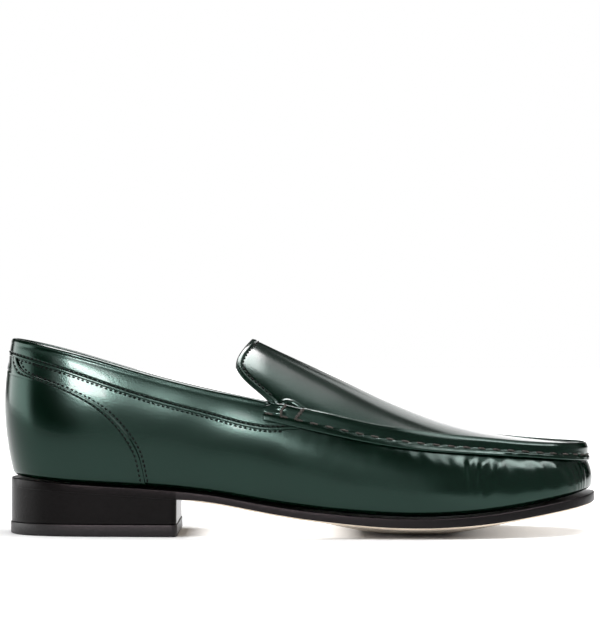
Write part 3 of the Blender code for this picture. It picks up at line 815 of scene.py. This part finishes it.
APRON_LIFT = 1.45
APRON_LEATHER = 1.2
CREST_STAND = 0.75
BALL_STAND = 0.40
STAND_FROM = 146.0
STAND_TO = 165.0
BALL_STAND_GROWS = (180, 200)
BALL_STAND_FADES = (265, 235)
STAND_ON_LID = 0.9
STAND_ON_SKIRT = 5.0
CREST_HEIGHT = 0.15
CREST_WIDTH = 0.5
HOOK_HEIGHT = 0.45
CREST_FADES = (6.0, 4.6)
EDGE_TURN_LID = 0.5
EDGE_TURN_SKIRT = 0.6
BELLY_GROWS = (139.5, 142.5)
BELLY_HEIGHT = 0.75
BELLY_DEPTH = 0.8
BELLY_WIDTH = 3.0
LIP_HEIGHT = 0.08
LIP_AT_TOE = 0.40
LIP_GROWS = (235, 262)
LIP_DEPTH = 7.5
LIP_WIDTH = 1.0
SKIRT_FLARE = 0.13
FLARE_DEPTH = 3.5
FLARE_REACH = 0.4
APRON_SLACK = 0.4 * SLACK
STITCH_DEPTH = 5.8
STITCH_GROOVE = 0.15
STITCH_GROOVE_WIDTH = 0.7
STITCH_PULL = 0.20
STITCH_PITCH = 7.7
STITCH_LENGTH = 4.5
SADDLE_THREAD = 0.95
WRAP_THREAD = 1.3
WRAP_LIFT = 0.25
WRAP_SUNK = 0.8
RIM_ROLL_IN = 1.4
RIM_ROLL = 0.28
RIM_ROLL_WIDTH = 0.8
RIM_STITCH_IN = 2.9
RIM_STITCH_SUNK = 0.3
RIM_GROOVE = 0.32
RIM_GROOVE_WIDTH = 0.45
RIM_ROWS = 14
CORNER_STEPS = 8
CORNER_REACH = 3.0
CORNER_WEIGHT = 30

# The threads wrapped over the skirt at its rear end, each from a place on the edge to one below.
WRAPS = ((142.5, 140.0), (151.5, 147.5))

# The crest's rear end, which hooks up over the belly and down behind it: along the shoe, and below the edge.
CREST_HOOK = (
    (140.6, 5.0),
    (140.0, 3.0),
    (140.2, 0.6),
    (141.4, -1.8),
    (143.6, -3.2),
    (146.5, -3.0),
    (149.5, -1.6),
    (152.5, -0.4),
    (156.0, 0.0),
)

half_across = np.concatenate([
    np.linspace(0, 0.8, 21)[:-1],
    np.linspace(0.8, 0.94, 15)[:-1],
    np.linspace(0.94, 1, 25),
])
apron_across = np.concatenate([-half_across[:0:-1], half_across])
apron_along = np.concatenate([np.linspace(0, 4.55, 150)[:-1], np.linspace(4.55, APRON_SPAN, 40)])
skirt_depths = np.concatenate([
    np.arange(0, 3.0, 0.25),
    np.arange(3.0, 8.4, 0.3),
    np.linspace(8.4, SKIRT_WIDTH, 4),
])
tongue_back = np.linspace(1, 0, 41)[:-1]

lid = apron_surface(apron_along[:, None], apron_across[None, :])
tongue_points = tongue_surface(tongue_back[:, None], apron_across[None, :])
upper_sheet = np.concatenate([tongue_points, lid])
upper_out = sheet_normals(upper_sheet)
tongue_count = len(tongue_back)

toe_stations = CORNER_OUTER + (apron_across[1:-1] + 1) / 2 * (CORNER_INNER - CORNER_OUTER)
skirt_loop = np.concatenate([NOTCH_OUTER + apron_along, toe_stations, NOTCH_INNER - apron_along[::-1]])
skirt_fall = skirt_depths[:, None] / SKIRT_WIDTH * skirt_width(skirt_loop)[None, :]
skirt_shares = below_top(skirt_loop, skirt_fall)
ends = np.minimum(skirt_loop - NOTCH_OUTER, NOTCH_INNER - skirt_loop)
flare = SKIRT_FLARE * ease(0, FLARE_DEPTH, skirt_depths)[:, None]
flare = flare * (1 - ease(0, FLARE_REACH, ends))[None, :]
flare = flare * np.where(skirt_loop < (NOTCH_OUTER + NOTCH_INNER) / 2, -1, 1)[None, :]
skirt_stations = skirt_loop[None, :] + flare
skirt_points = wall(skirt_stations, skirt_shares)
skirt_out = wall_normal(skirt_stations, skirt_shares)

# The grid is pinched at the two toe corners, so there the lid faces the way it does a few steps in.
lid_out = upper_out[tongue_count:]
for side, inside in ((0, CORNER_STEPS), (-1, -1 - CORNER_STEPS)):
    from_corner = np.linalg.norm(lid - lid[-1, side], axis=2)[..., None]
    steady = CORNER_WEIGHT * ridge(0, CORNER_REACH, from_corner) * lid_out[-1 - CORNER_STEPS, inside]
    lid_out[:] = unit(lid_out + steady)
rim_out = np.concatenate([lid_out[:, 0], lid_out[-1, 1:-1], lid_out[::-1, -1]])
edge_out = unit(rim_out + skirt_out[0])
edge_points = skirt_points[0]
flat = upper_sheet.reshape(-1, 3)
nearest = np.zeros(len(flat), int)
edge_distance = np.zeros(len(flat))
for start in range(0, len(flat), 2000):
    gaps = np.linalg.norm(flat[start : start + 2000, None] - edge_points[None], axis=2)
    nearest[start : start + 2000] = gaps.argmin(1)
    edge_distance[start : start + 2000] = gaps.min(1)
for step in (-1, 1):
    start = edge_points[nearest]
    run = edge_points[np.clip(nearest + step, 0, len(edge_points) - 1)] - start
    share = ((flat - start) * run).sum(1) / np.maximum((run * run).sum(1), 1e-9)
    foot = start + np.clip(share, 0, 1)[:, None] * run
    edge_distance = np.minimum(edge_distance, np.linalg.norm(flat - foot, axis=1))
nearest = nearest.reshape(upper_sheet.shape[:2])
edge_distance = edge_distance.reshape(upper_sheet.shape[:2])

crest_hook = spline(CREST_HOOK, closed=False)(np.linspace(0, len(CREST_HOOK) - 1, 120))


def crest(x, depth):
    """Height of the crest at a point, along the edge and round the hook at its rear end."""
    beside = np.abs(depth) + 0 * x
    rear = x < CREST_HOOK[-1][0]
    places = np.stack([x + 0 * depth, depth + 0 * x], -1)[rear]
    beside[rear] = np.linalg.norm(places[:, None] - crest_hook[None], axis=2).min(1)
    height = CREST_HEIGHT + HOOK_HEIGHT * ease(CREST_HOOK[-1][0], CREST_HOOK[-3][0], x)
    return height * ridge(0, CREST_WIDTH, beside)


def stand(x):
    """How far the whole edge stands up along the apron, most beside the ball of the foot."""
    ball = ease(*BALL_STAND_GROWS, x) * ease(*BALL_STAND_FADES, x)
    return CREST_STAND * ease(STAND_FROM, STAND_TO, x) + BALL_STAND * ball


lid_turn = ridge(0, EDGE_TURN_LID, edge_distance)[..., None]
upper_out = unit(upper_out * (1 - lid_turn) + edge_out[nearest] * lid_turn)
upper_lift = APRON_LIFT + crest(upper_sheet[..., 0], -edge_distance)
upper_lift = upper_lift + stand(upper_sheet[..., 0]) * ridge(0, STAND_ON_LID, edge_distance)
skirt_turn = ridge(0, EDGE_TURN_SKIRT, skirt_depths)[:, None, None]
skirt_out = unit(skirt_out * (1 - skirt_turn) + edge_out[None] * skirt_turn)
arc = np.append(0, np.cumsum(np.linalg.norm(np.diff(edge_points, axis=0), axis=1)))
stitch_phase = np.abs(np.sin(np.pi * (arc - FIRST_HOLE - STITCH_LENGTH / 2) / STITCH_PITCH))
depth = skirt_depths[:, None]
skirt_x = skirt_points[..., 0]
in_front = ease(*BELLY_GROWS, skirt_x)
skirt_lift = APRON_LIFT + crest(skirt_x, depth) * ease(*CREST_FADES, depth)
skirt_lift = skirt_lift + stand(skirt_x) * np.clip(1 - depth / STAND_ON_SKIRT, 0, 1)
skirt_lift = skirt_lift + in_front * BELLY_HEIGHT * ridge(BELLY_DEPTH, BELLY_WIDTH, depth)
lip = LIP_HEIGHT + LIP_AT_TOE * ease(*LIP_GROWS, edge_points[:, 0])
groove = STITCH_GROOVE + STITCH_PULL * stitch_phase[None, :] ** 4
skirt_lift = skirt_lift - groove * ridge(STITCH_DEPTH, STITCH_GROOVE_WIDTH, depth)
lip = lip * (1 - 0.5 * stitch_phase**2)
skirt_lift = skirt_lift + lip[None, :] * ridge(LIP_DEPTH, LIP_WIDTH, depth)

rear_edge = np.concatenate([
    skirt_points[::-1, 0],
    tongue_points[::-1, 0],
    tongue_points[0],
    tongue_points[:, -1],
    skirt_points[:, -1],
])


def distance_to_rear(points):
    """How far points of the apron lie from its free rear edge, round the tongue."""
    return np.array([np.linalg.norm(rear_edge - point, axis=1).min() for point in points.reshape(-1, 3)])


def rim_relief(distance):
    """The rolled rim along the free edge, and the groove that the stitches pull in beside it."""
    roll = RIM_ROLL * ridge(RIM_ROLL_IN, RIM_ROLL_WIDTH, distance)
    return roll - RIM_GROOVE * ridge(RIM_STITCH_IN, RIM_GROOVE_WIDTH, distance)


rear_rows = tongue_count + RIM_ROWS
rear_distance = distance_to_rear(upper_sheet[:rear_rows]).reshape(rear_rows, -1)
upper_lift[:rear_rows] += rim_relief(rear_distance)
upper_lift += slack(upper_sheet, APRON_SLACK)
skirt_lift += slack(skirt_points)

apron_mesh = bmesh.new()
add_sheet(apron_mesh, (upper_sheet + upper_lift[..., None] * upper_out).transpose(1, 0, 2))
add_sheet(apron_mesh, (skirt_points + skirt_lift[..., None] * skirt_out)[::-1])
give_thickness(apron_mesh, APRON_LEATHER)
make_piece("apron_and_tongue", apron_mesh, green, nodes=("apron",))

rim_line = []
rim_out = []
rays = [(back, -1.0) for back in np.linspace(0.02, 1, 30)[:-1]]
rays += [(1.0, across) for across in np.linspace(-1, 1, 61)]
rays += [(back, 1.0) for back in np.linspace(1, 0.02, 30)[1:]]
for back, across in rays:
    share = np.linspace(1, 0.4, 60)
    points = tongue_surface(back * share, across * share)
    k = int(np.argmax(distance_to_rear(points) >= RIM_STITCH_IN))
    place = share[k]
    step = 0.01
    point = tongue_surface(back * place, across * place)
    down = tongue_surface(back * place - step, across * place) - point
    inward = tongue_surface(back * place, across * place + step) - point
    normal = unit(np.cross(down, inward))
    rim_line.append(point + (APRON_LIFT - RIM_STITCH_SUNK + slack(point, APRON_SLACK)) * normal)
    rim_out.append(normal)
tongue_sewing = bmesh.new()
sew(tongue_sewing, np.array(rim_line), np.array(rim_out))
make_piece("tongue_stitching", tongue_sewing, green_thread_with_hole_shade)

# The taupe thread is darkened past its own colour: partly painted shade of the groove the saddle stitches
# are pulled into; the wraps share it.
taupe_thread_with_groove_shade = sewing_thread("taupe_thread_with_groove_shade", (0.024, 0.022, 0.019), (0.078, 0.071, 0.062), 0.6)
stitch_row = int(np.argmin(np.abs(skirt_depths - STITCH_DEPTH)))
saddle_line = skirt_points[stitch_row] + skirt_lift[stitch_row][:, None] * skirt_out[stitch_row]
saddle_sewing = bmesh.new()
sew(saddle_sewing, saddle_line, skirt_out[stitch_row], STITCH_PITCH, STITCH_LENGTH, SADDLE_THREAD)
skirt_middle = len(skirt_loop) // 2
for columns in (np.arange(skirt_middle), np.arange(len(skirt_loop) - 1, skirt_middle, -1)):
    for top_x, low_x in WRAPS:
        line = []
        line_out = []
        for row in range(stitch_row + 1):
            share = skirt_depths[row] / skirt_depths[stitch_row]
            wrap_x = top_x + (low_x - top_x) * share
            column = columns[np.argmin(np.abs(skirt_x[row, columns] - wrap_x))]
            normal = skirt_out[row, column]
            line.append(skirt_points[row, column] + (skirt_lift[row, column] + WRAP_LIFT) * normal)
            line_out.append(normal)
        line, line_out = np.array(line), np.array(line_out)
        line[[0, -1]] -= WRAP_SUNK * line_out[[0, -1]]
        add_thread(saddle_sewing, line, line_out, WRAP_THREAD)
make_piece("saddle_stitching", saddle_sewing, taupe_thread_with_groove_shade)


# Outsole
# A thin leather sole, its edge trimmed square and inked black, with a natural line left along the tread.
# Under the ball it bellies down to a flat tread, and the toe springs up.

SOLE_AT_WAIST = 4.3
SOLE_AT_BALL = 5.2
BREAST_X = 88.5
HEEL_SEAT_BACK_Z = 24.2
HEEL_SEAT_BREAST_Z = 18.6
BALL_X = 206.0
BALL_BELLY = 6.6
BALL_DISH = 3.6
BELLY_REACH = 74.0
BELLY_FLAT = 0.15
SEAT_BLEND = 14.0
SOLE_GAP = 0.3
EDGE_ROUND = 0.5
NATURAL_LINE = 0.8
FACES_DOWN = -0.35
FACES_FLOOR = -0.85
SOLE_SHARP_EDGE = math.radians(35)
SOLE_STEPS = {"heel": 40, "quarter": 60, "side": 90, "toe": 40}


def patch(points, ends):
    """Fills a closed loop round the sole with a sheet of rungs from the outer to the inner side."""
    side = (len(points) - 2 * ends) // 2
    heel = points[: ends + 1][::-1]
    outer = points[ends : ends + side + 1]
    toe = points[ends + side : 2 * ends + side + 1]
    inner = np.concatenate([points[2 * ends + side :], points[:1]])[::-1]
    u = np.linspace(0, 1, side + 1)[:, None, None]
    w = np.linspace(0, 1, ends + 1)[None, :, None]
    flat = (1 - w) * outer[:, None] + w * inner[:, None] + (1 - u) * heel[None] + u * toe[None]
    corners = (1 - u) * ((1 - w) * heel[0] + w * heel[-1]) + u * ((1 - w) * toe[0] + w * toe[-1])
    return flat - corners


def sunk(sheet, depth):
    """Lowers the middle of a sheet under the ball of the foot, leaving its rim where it is."""
    across = np.linspace(-1, 1, sheet.shape[1])[None, :]
    ball = 1 - ease(BELLY_FLAT * BELLY_REACH, BELLY_REACH, np.abs(sheet[..., 0] - BALL_X))
    lowered = sheet.copy()
    lowered[..., 2] -= depth * ball * (1 - across**2)
    return lowered


def closed_body(rings, top, under):
    """A closed body from rings of points round its side, with a sheet on top and one under it."""
    mesh = bmesh.new()
    add_sheet(mesh, rings, closed=True)
    add_sheet(mesh, top.transpose(1, 0, 2))
    add_sheet(mesh, under)
    bmesh.ops.remove_doubles(mesh, verts=mesh.verts, dist=WELD_DISTANCE)
    bmesh.ops.recalc_face_normals(mesh, faces=mesh.faces)
    return mesh


def sole_edge(loop):
    """The loop of the sole's edge in plan, beyond the upper's foot by the welt."""
    rib = wall_rib(loop)
    edge = rib[:, 0:3] + rib[:, WALL_COLUMNS.index("welt"), None] * outward(loop)
    edge[:, 2] -= SOLE_GAP
    return edge


def edge_ink(name, color, roughness, shine):
    """Black edge ink over leather: nearly matt, with fine fibres and slight wear."""
    made, tree, shader = new_finish(name)
    place = add_node(tree, "TexCoord", {}).outputs["Object"]
    fibres = add_node(tree, "TexNoise", {"Vector": place, "Scale": 700.0, "Detail": 4.0}).outputs["Fac"]
    thick, worn = [c * 0.75 for c in color], [c * 1.4 for c in color]
    set_inputs(tree, shader, {
        "Base Color": two_tones(tree, fibres, thick, worn, 0.3, 0.75),
        "Normal": grain_bump(tree, fibres, 0.4),
        "Roughness": roughness,
        "Specular IOR Level": shine,
    })
    return made


black_edge = edge_ink("black_edge", (0.0034, 0.0029, 0.0032), 0.36, 0.18)
sole_leather = plain_leather("sole_leather", (0.40, 0.35, 0.29), (0.52, 0.46, 0.39), 0.6, 1.2, 0.3)
# The natural line's leather is paler than the tread's: partly its own colour, partly painted light where
# light from the floor would catch the bevel.
bare_edge_with_painted_light = plain_leather("bare_edge_with_painted_light", (0.66, 0.55, 0.43), (0.80, 0.69, 0.57), 0.6, 0.8, 0.3)
heel_ink = edge_ink("heel_ink", (0.0026, 0.0021, 0.0021), 0.30, 0.10)

sole_loop = round_the_last(**SOLE_STEPS)
edge = sole_edge(sole_loop)
sole_out = outward(sole_loop)
seat_fall = (HEEL_SEAT_BREAST_Z - HEEL_SEAT_BACK_Z) / BREAST_X
seat = HEEL_SEAT_BACK_Z + seat_fall * edge[:, 0]
thick = SOLE_AT_WAIST + (SOLE_AT_BALL - SOLE_AT_WAIST) * ease(BREAST_X, BALL_X, edge[:, 0])
front = ease(BREAST_X, BREAST_X + SEAT_BLEND, edge[:, 0])
low = edge.copy()
low[:, 2] = seat * (1 - front) + (edge[:, 2] - thick) * front
bevel = (NATURAL_LINE * front)[:, None]
sole_rings = [low - bevel * sole_out, low + bevel * UP]
for turn in np.radians([0, 30, 60, 90]):
    sole_rings.append(edge - EDGE_ROUND * ((1 - math.cos(turn)) * sole_out + (1 - math.sin(turn)) * UP))
top_sheet = sunk(patch(sole_rings[-1], SOLE_STEPS["heel"]), BALL_DISH)
tread_sheet = sunk(patch(sole_rings[0], SOLE_STEPS["heel"]), BALL_BELLY)
tread_sheet[..., 2] = np.maximum(tread_sheet[..., 2], 0)
sole_mesh = closed_body(sole_rings, top_sheet, tread_sheet)
sole_mesh.normal_update()
breast_place = (BREAST_X + HEEL_TO_MIDDLE[0]) * MM
for face in sole_mesh.faces:
    if face.normal.z < FACES_DOWN:
        face.material_index = 1 if face.normal.z < FACES_FLOOR else 2
    elif face.calc_center_median().x < breast_place:
        face.material_index = 3
outsole = make_piece("leather_sole", sole_mesh, black_edge, nodes=("outsole",))
for finish in (sole_leather, bare_edge_with_painted_light, heel_ink):
    outsole.data.materials.append(finish)
outsole.data.set_sharp_from_angle(angle=SOLE_SHARP_EDGE)


# Stacked heel and top lift
# Layers of sole leather pressed into a block, trimmed with the sole's edge and inked black.
# A rubber top lift of a slightly greyer black is nailed under it.

TOP_LIFT = 6.0
BREAST_CORNER = 3.0
SEAT_GAP = 0.02
LIFT_GAP = 0.10
STACK_BEVEL = 0.3
SHARP_EDGE = math.radians(40)

# The top lift's side, from the floor up: how far it stands out from the heel, and its height.
LIFT_SIDE = (
    (-0.5, 0.0),
    (-0.1, 0.15),
    (0.25, 0.5),
    (0.4, 0.9),
    (0.4, TOP_LIFT - 0.6),
    (0.3, TOP_LIFT - 0.2),
    (0.0, TOP_LIFT),
)


def heel_ring(grow):
    """The heel's plan outline as a loop of (x, y) points: the sole's edge behind a straight breast."""
    half = np.linspace(0, NOTCH_OUTER, 600)
    sides = []
    for sign in (-1, 1):
        line = (sole_edge(sign * half) + grow * outward(sign * half))[:, :2]
        breast = BREAST_X + grow
        stop = int(np.argmax(line[:, 0] > breast - BREAST_CORNER))
        y = line[stop, 1]
        inset = math.copysign(BREAST_CORNER, y)
        turn = np.radians(np.linspace(90, 0, 9)[1:])
        corner = [(breast - BREAST_CORNER * (1 - math.cos(a)), y - inset * (1 - math.sin(a))) for a in turn]
        kept = np.linspace(0, stop, 81).astype(int)
        sides.append(list(line[kept]) + corner)
    return np.array(sides[1] + sides[0][:0:-1])


def stack_rings(rings):
    """A closed solid through rings of points, capped at both ends."""
    mesh = bmesh.new()
    add_sheet(mesh, rings, closed=True)
    mesh.verts.ensure_lookup_table()
    count = len(rings[0])
    mesh.faces.new(mesh.verts[:count])
    mesh.faces.new(mesh.verts[-count:])
    bmesh.ops.recalc_face_normals(mesh, faces=mesh.faces)
    return mesh


def ring_at(grow, height):
    """One ring of the heel's outline at a height, or at a height for each of its points."""
    outline = heel_ring(grow)
    return np.column_stack([outline, np.broadcast_to(height, len(outline))])


rubber_lift = edge_ink("rubber_lift", (0.0085, 0.0080, 0.0085), 0.45, 0.32)

seat_height = HEEL_SEAT_BACK_Z + seat_fall * heel_ring(0.0)[:, 0] - SEAT_GAP
stack_foot = TOP_LIFT + LIFT_GAP
stack_mesh = stack_rings([
    ring_at(-STACK_BEVEL, stack_foot),
    ring_at(0.0, stack_foot + STACK_BEVEL),
    ring_at(0.0, seat_height),
])
stack = make_piece("stacked_heel", stack_mesh, heel_ink, nodes=("heel_stack",))
stack.data.set_sharp_from_angle(angle=SHARP_EDGE)
lift_mesh = stack_rings([ring_at(grow, height) for grow, height in LIFT_SIDE])
lift = make_piece("rubber_top_lift", lift_mesh, rubber_lift, nodes=("heel_top_lift",))
lift.data.set_sharp_from_angle(angle=SHARP_EDGE)


# Wedge insole
# The hidden lift: a wedge that raises the heel, laid loose on the sole inside the lining.
# It is covered from end to end by a tan leather sock.

LIFT_AT_HEEL = 18.0
LIFT_AT_BALL = 3.0
LIFT_START_X = 40.0
LIFT_END_X = 178.0
INSOLE_INSET = 2.4
SOCK_ROUND = 0.6
FOOT_INSET = 2.6
FOOT_RISE = 0.8
INSOLE_ENDS = 30

insole_loop = round_the_last(INSOLE_ENDS, 40, 60, INSOLE_ENDS)
rib = wall_rib(insole_loop)
wedge = LIFT_AT_HEEL + (LIFT_AT_BALL - LIFT_AT_HEEL) * ease(LIFT_START_X, LIFT_END_X, rib[:, 0])
insole_foot = rib[:, 2] + SOLE_GAP
insole_rings = []
for height in (insole_foot, insole_foot + wedge - SOCK_ROUND, insole_foot + wedge):
    shares = []
    for station, z in zip(insole_loop, height):
        rib_heights = wall(np.full(len(RIB_SHARES), station), RIB_SHARES)[:, 2]
        shares.append(np.interp(z, rib_heights, RIB_SHARES))
    ring = wall(insole_loop, np.array(shares)) - INSOLE_INSET * wall_normal(insole_loop, np.array(shares))
    ring[:, 2] = height
    insole_rings.append(ring)
insole_rings[2] = insole_rings[2] - SOCK_ROUND * outward(insole_loop)
insole_rings[0] = insole_rings[0] - FOOT_INSET * outward(insole_loop) + FOOT_RISE * UP
sock, underside = (sunk(patch(insole_rings[ring], INSOLE_ENDS), BALL_DISH) for ring in (2, 0))
insole_mesh = closed_body(insole_rings, sock, underside)
make_piece("insole_sock", insole_mesh, tan_lining, nodes=("insole",))


# Studio
# A white paper floor in a dark room with lit patches of wall and ceiling. Soft boxes hang above, behind
# the toe and at the front left. The camera stands level at the shoe's outer side.

FLOOR_SIZE = 8.0

# Where the paper glows of itself, in metres: behind the shoe, far off, past the toe and under the arch.
# Past the toe and under the arch the glow is painted light that lifts the shoe's shadow there.
# Each pair runs from no glow to full glow.
LIT_BACK = (0.15, 1.4)
LIT_FAR = (1.0, 2.2)
LIT_TOE = (0.075, 0.13)
TOE_SHADOW_LIFT = 0.45
ARCH_START = (-0.058, -0.042)
ARCH_END = (0.032, 0.008)
ARCH_FRONT = (-0.05, -0.035)

BOX_COLOR = (1.0, 0.80, 0.86)
CAMERA_AWAY = 1.4
CAMERA_HEIGHT = 0.1116
CAMERA_LENS = 158.3
CAMERA_SENSOR = 36.0


def soft_box(name, place, aim, width, height, brightness, turn=0.0):
    """A rectangular light of a given brightness that faces a point, turned about its own axis."""
    data = bpy.data.lights.new(name, "AREA")
    data.shape = "RECTANGLE"
    data.size = width
    data.size_y = height
    data.energy = brightness * width * height * math.pi
    made = bpy.data.objects.new(name, data)
    made.location = place
    facing = (Vector(aim) - Vector(place)).to_track_quat("-Z", "Y")
    made.rotation_euler = (facing @ Quaternion((0, 0, 1), math.radians(turn))).to_euler()
    bpy.context.scene.collection.objects.link(made)
    return made


def shine_box(name, place, aim, width, height, brightness, turn=0.0):
    """A soft box that is seen only as gloss on the leather."""
    made = soft_box(name, place, aim, width, height, brightness, turn)
    made.visible_diffuse = False
    made.visible_camera = False
    return made


def figure(tree, operation, *values):
    """One sum on the way to a brightness, from earlier results and plain numbers."""
    made = add_node(tree, "Math", dict(enumerate(values)))
    made.operation = operation
    return made.outputs["Value"]


def glow(tree, along, start, end, most=1.0):
    """A glow in the paper that grows between two places."""
    inputs = {"Value": along, "From Min": start, "From Max": end, "To Max": most}
    return add_node(tree, "MapRange", inputs).outputs["Result"]


def fade(tree, away, reach, softness):
    """1 up to a reach, then softly down to 0."""
    start, end = math.radians(reach - softness), math.radians(reach + softness)
    inputs = {"Value": away, "From Min": start, "From Max": end, "To Min": 1.0, "To Max": 0.0}
    made = add_node(tree, "MapRange", inputs)
    made.interpolation_type = "SMOOTHSTEP"
    return made.outputs["Result"]


half = FLOOR_SIZE / 2
corners = [(-half, -half, 0), (half, -half, 0), (half, half, 0), (-half, half, 0)]
floor_data = bpy.data.meshes.new("floor")
floor_data.from_pydata(corners, [], [(0, 1, 2, 3)])
floor = bpy.data.objects.new("floor", floor_data)
bpy.context.scene.collection.objects.link(floor)
paper, tree, shader = new_finish("white_paper")
place = add_node(tree, "TexCoord", {}).outputs["Object"]
away = add_node(tree, "SeparateXYZ", {"Vector": place}).outputs
far = add_node(tree, "VectorMath", {0: place})
far.operation = "LENGTH"
lit = figure(tree, "MAXIMUM", glow(tree, away["Y"], *LIT_BACK), glow(tree, far.outputs["Value"], *LIT_FAR))
# Painted light: past the toe the paper glows to lift the shoe's shadow.
lit = figure(tree, "MAXIMUM", lit, glow(tree, away["X"], *LIT_TOE, most=TOE_SHADOW_LIFT))
# Painted light: under the arch the paper glows to break the shoe's shadow.
arch_shadow_lift = figure(tree, "MULTIPLY", glow(tree, away["X"], *ARCH_START), glow(tree, away["X"], *ARCH_END))
arch_shadow_lift = figure(tree, "MULTIPLY", arch_shadow_lift, glow(tree, away["Y"], *ARCH_FRONT))
set_inputs(tree, shader, {
    "Base Color": (0.92, 0.92, 0.92, 1.0),
    "Roughness": 0.9,
    "Specular IOR Level": 0.1,
    "Emission Color": (1.0, 1.0, 1.0, 1.0),
    "Emission Strength": figure(tree, "MAXIMUM", lit, arch_shadow_lift),
})
floor_data.materials.append(paper)

# Walls and ceiling in degrees, seen from the shoe: azimuth runs from the front (0) over the toe's side (90).
# Columns: azimuth, half width, elevation, half height, softness, glow.
ROOM = {
    "back wall": (180, 28, -20, 28, 6, 1.0),
    "high back": (180, 60, 40, 13, 9, 0.12),
    "ceiling": (115, 75, 90, 33, 15, 1.2),
    "heel wall": (-95, 33, 3, 17, 8, 4.6),
    "front wall": (-4, 13, 5, 19, 5, 0.9),
    "upper front": (-35, 38, 34, 11, 6, 0.8),
    "toe wall": (60, 60, 12, 26, 12, 0.3),
}

world = bpy.data.worlds.new("studio")
world.use_nodes = True
bpy.context.scene.world = world
tree = world.node_tree
direction = add_node(tree, "TexCoord", {}).outputs["Generated"]
parts = add_node(tree, "SeparateXYZ", {"Vector": direction}).outputs
azimuth = figure(tree, "ARCTAN2", parts["X"], figure(tree, "MULTIPLY", parts["Y"], -1.0))
elevation = figure(tree, "ARCSINE", parts["Z"])
room = 0.0
for around, half_width, up, half_height, softness, brightness in ROOM.values():
    turned = figure(tree, "SUBTRACT", azimuth, math.radians(around))
    turned = figure(tree, "ABSOLUTE", figure(tree, "WRAP", turned, math.pi, -math.pi))
    raised = figure(tree, "ABSOLUTE", figure(tree, "SUBTRACT", elevation, math.radians(up)))
    patch_glow = figure(
        tree, "MULTIPLY", fade(tree, turned, half_width, softness), fade(tree, raised, half_height, softness)
    )
    room = figure(tree, "MULTIPLY_ADD", patch_glow, brightness, room)
seen = add_node(tree, "LightPath", {}).outputs["Is Camera Ray"]
set_inputs(tree, tree.nodes["Background"], {
    "Color": (1.0, 1.0, 1.0, 1.0),
    "Strength": figure(tree, "MAXIMUM", room, seen),
})

# Boxes overhead, facing straight down: place, width, height, brightness and turn.
OVERHEAD_BOXES = {
    "tongue_core": ((-0.03, 0.22, 0.90), 0.45, 0.50, 25.0, -10),
    "tongue_rim": ((-0.03, 0.22, 0.90), 0.51, 0.54, 6.0, -10),
    "tongue_halo": ((-0.01, 0.22, 0.90), 0.60, 0.58, 1.5, -10),
    "toe_core": ((0.75, -0.51, 1.10), 0.50, 0.36, 16.0, 30),
    "toe_rim": ((0.72, -0.53, 1.10), 0.74, 0.56, 7.0, 30),
    "toe_far": ((1.06, -0.24, 1.10), 0.34, 0.44, 14.0, 45),
}
NEARLY_DOWN = 0.0001

# Boxes at the front, facing the quarter: place, width, height and brightness.
FRONT_BOXES = {
    "front_box": ((-0.44, -1.25, 0.56), 0.25, 0.13, 90.0),
    "front_top": ((-0.40, -1.25, 0.74), 0.30, 0.20, 17.0),
    "front_halo": ((-0.66, -1.26, 0.60), 0.45, 0.20, 2.0),
}
AT_QUARTER = (-0.11, -0.03, 0.075)

# Boxes behind the toe, facing forwards: left, right, middle height, height and brightness.
BACK_BOXES = {
    "toe_back": (0.065, 0.21, 0.13, 0.20, 1.1),
    "toe_back_core": (0.105, 0.19, 0.13, 0.20, 1.3),
    "toe_back_high": (0.125, 0.26, 0.28, 0.24, 1.5),
}
BACK_BOX_Y = 0.40

for name, (place, width, height, brightness, turn) in OVERHEAD_BOXES.items():
    aim = (place[0], place[1] + NEARLY_DOWN, 0.0)
    shine_box(name, place, aim, width, height, brightness, turn).data.color = BOX_COLOR
for name, (place, width, height, brightness) in FRONT_BOXES.items():
    shine_box(name, place, AT_QUARTER, width, height, brightness).data.color = BOX_COLOR
for name, (left, right, up, height, brightness) in BACK_BOXES.items():
    middle = (left + right) / 2
    shine_box(name, (middle, BACK_BOX_Y, up), (middle, 0.0, up), right - left, height, brightness)
fill = soft_box("fill_box", (0.0, 0.1, 1.3), (0, 0, 0), 2.0, 1.6, 3.3)
fill.visible_glossy = False

camera_data = bpy.data.cameras.new("camera")
camera_data.lens = CAMERA_LENS
camera_data.sensor_width = CAMERA_SENSOR
camera = bpy.data.objects.new("camera", camera_data)
camera.location = (0.0, -CAMERA_AWAY, CAMERA_HEIGHT)
camera.rotation_euler = (math.pi / 2, 0.0, 0.0)
bpy.context.scene.collection.objects.link(camera)
bpy.context.scene.camera = camera
bpy.context.scene.view_settings.view_transform = "Standard"
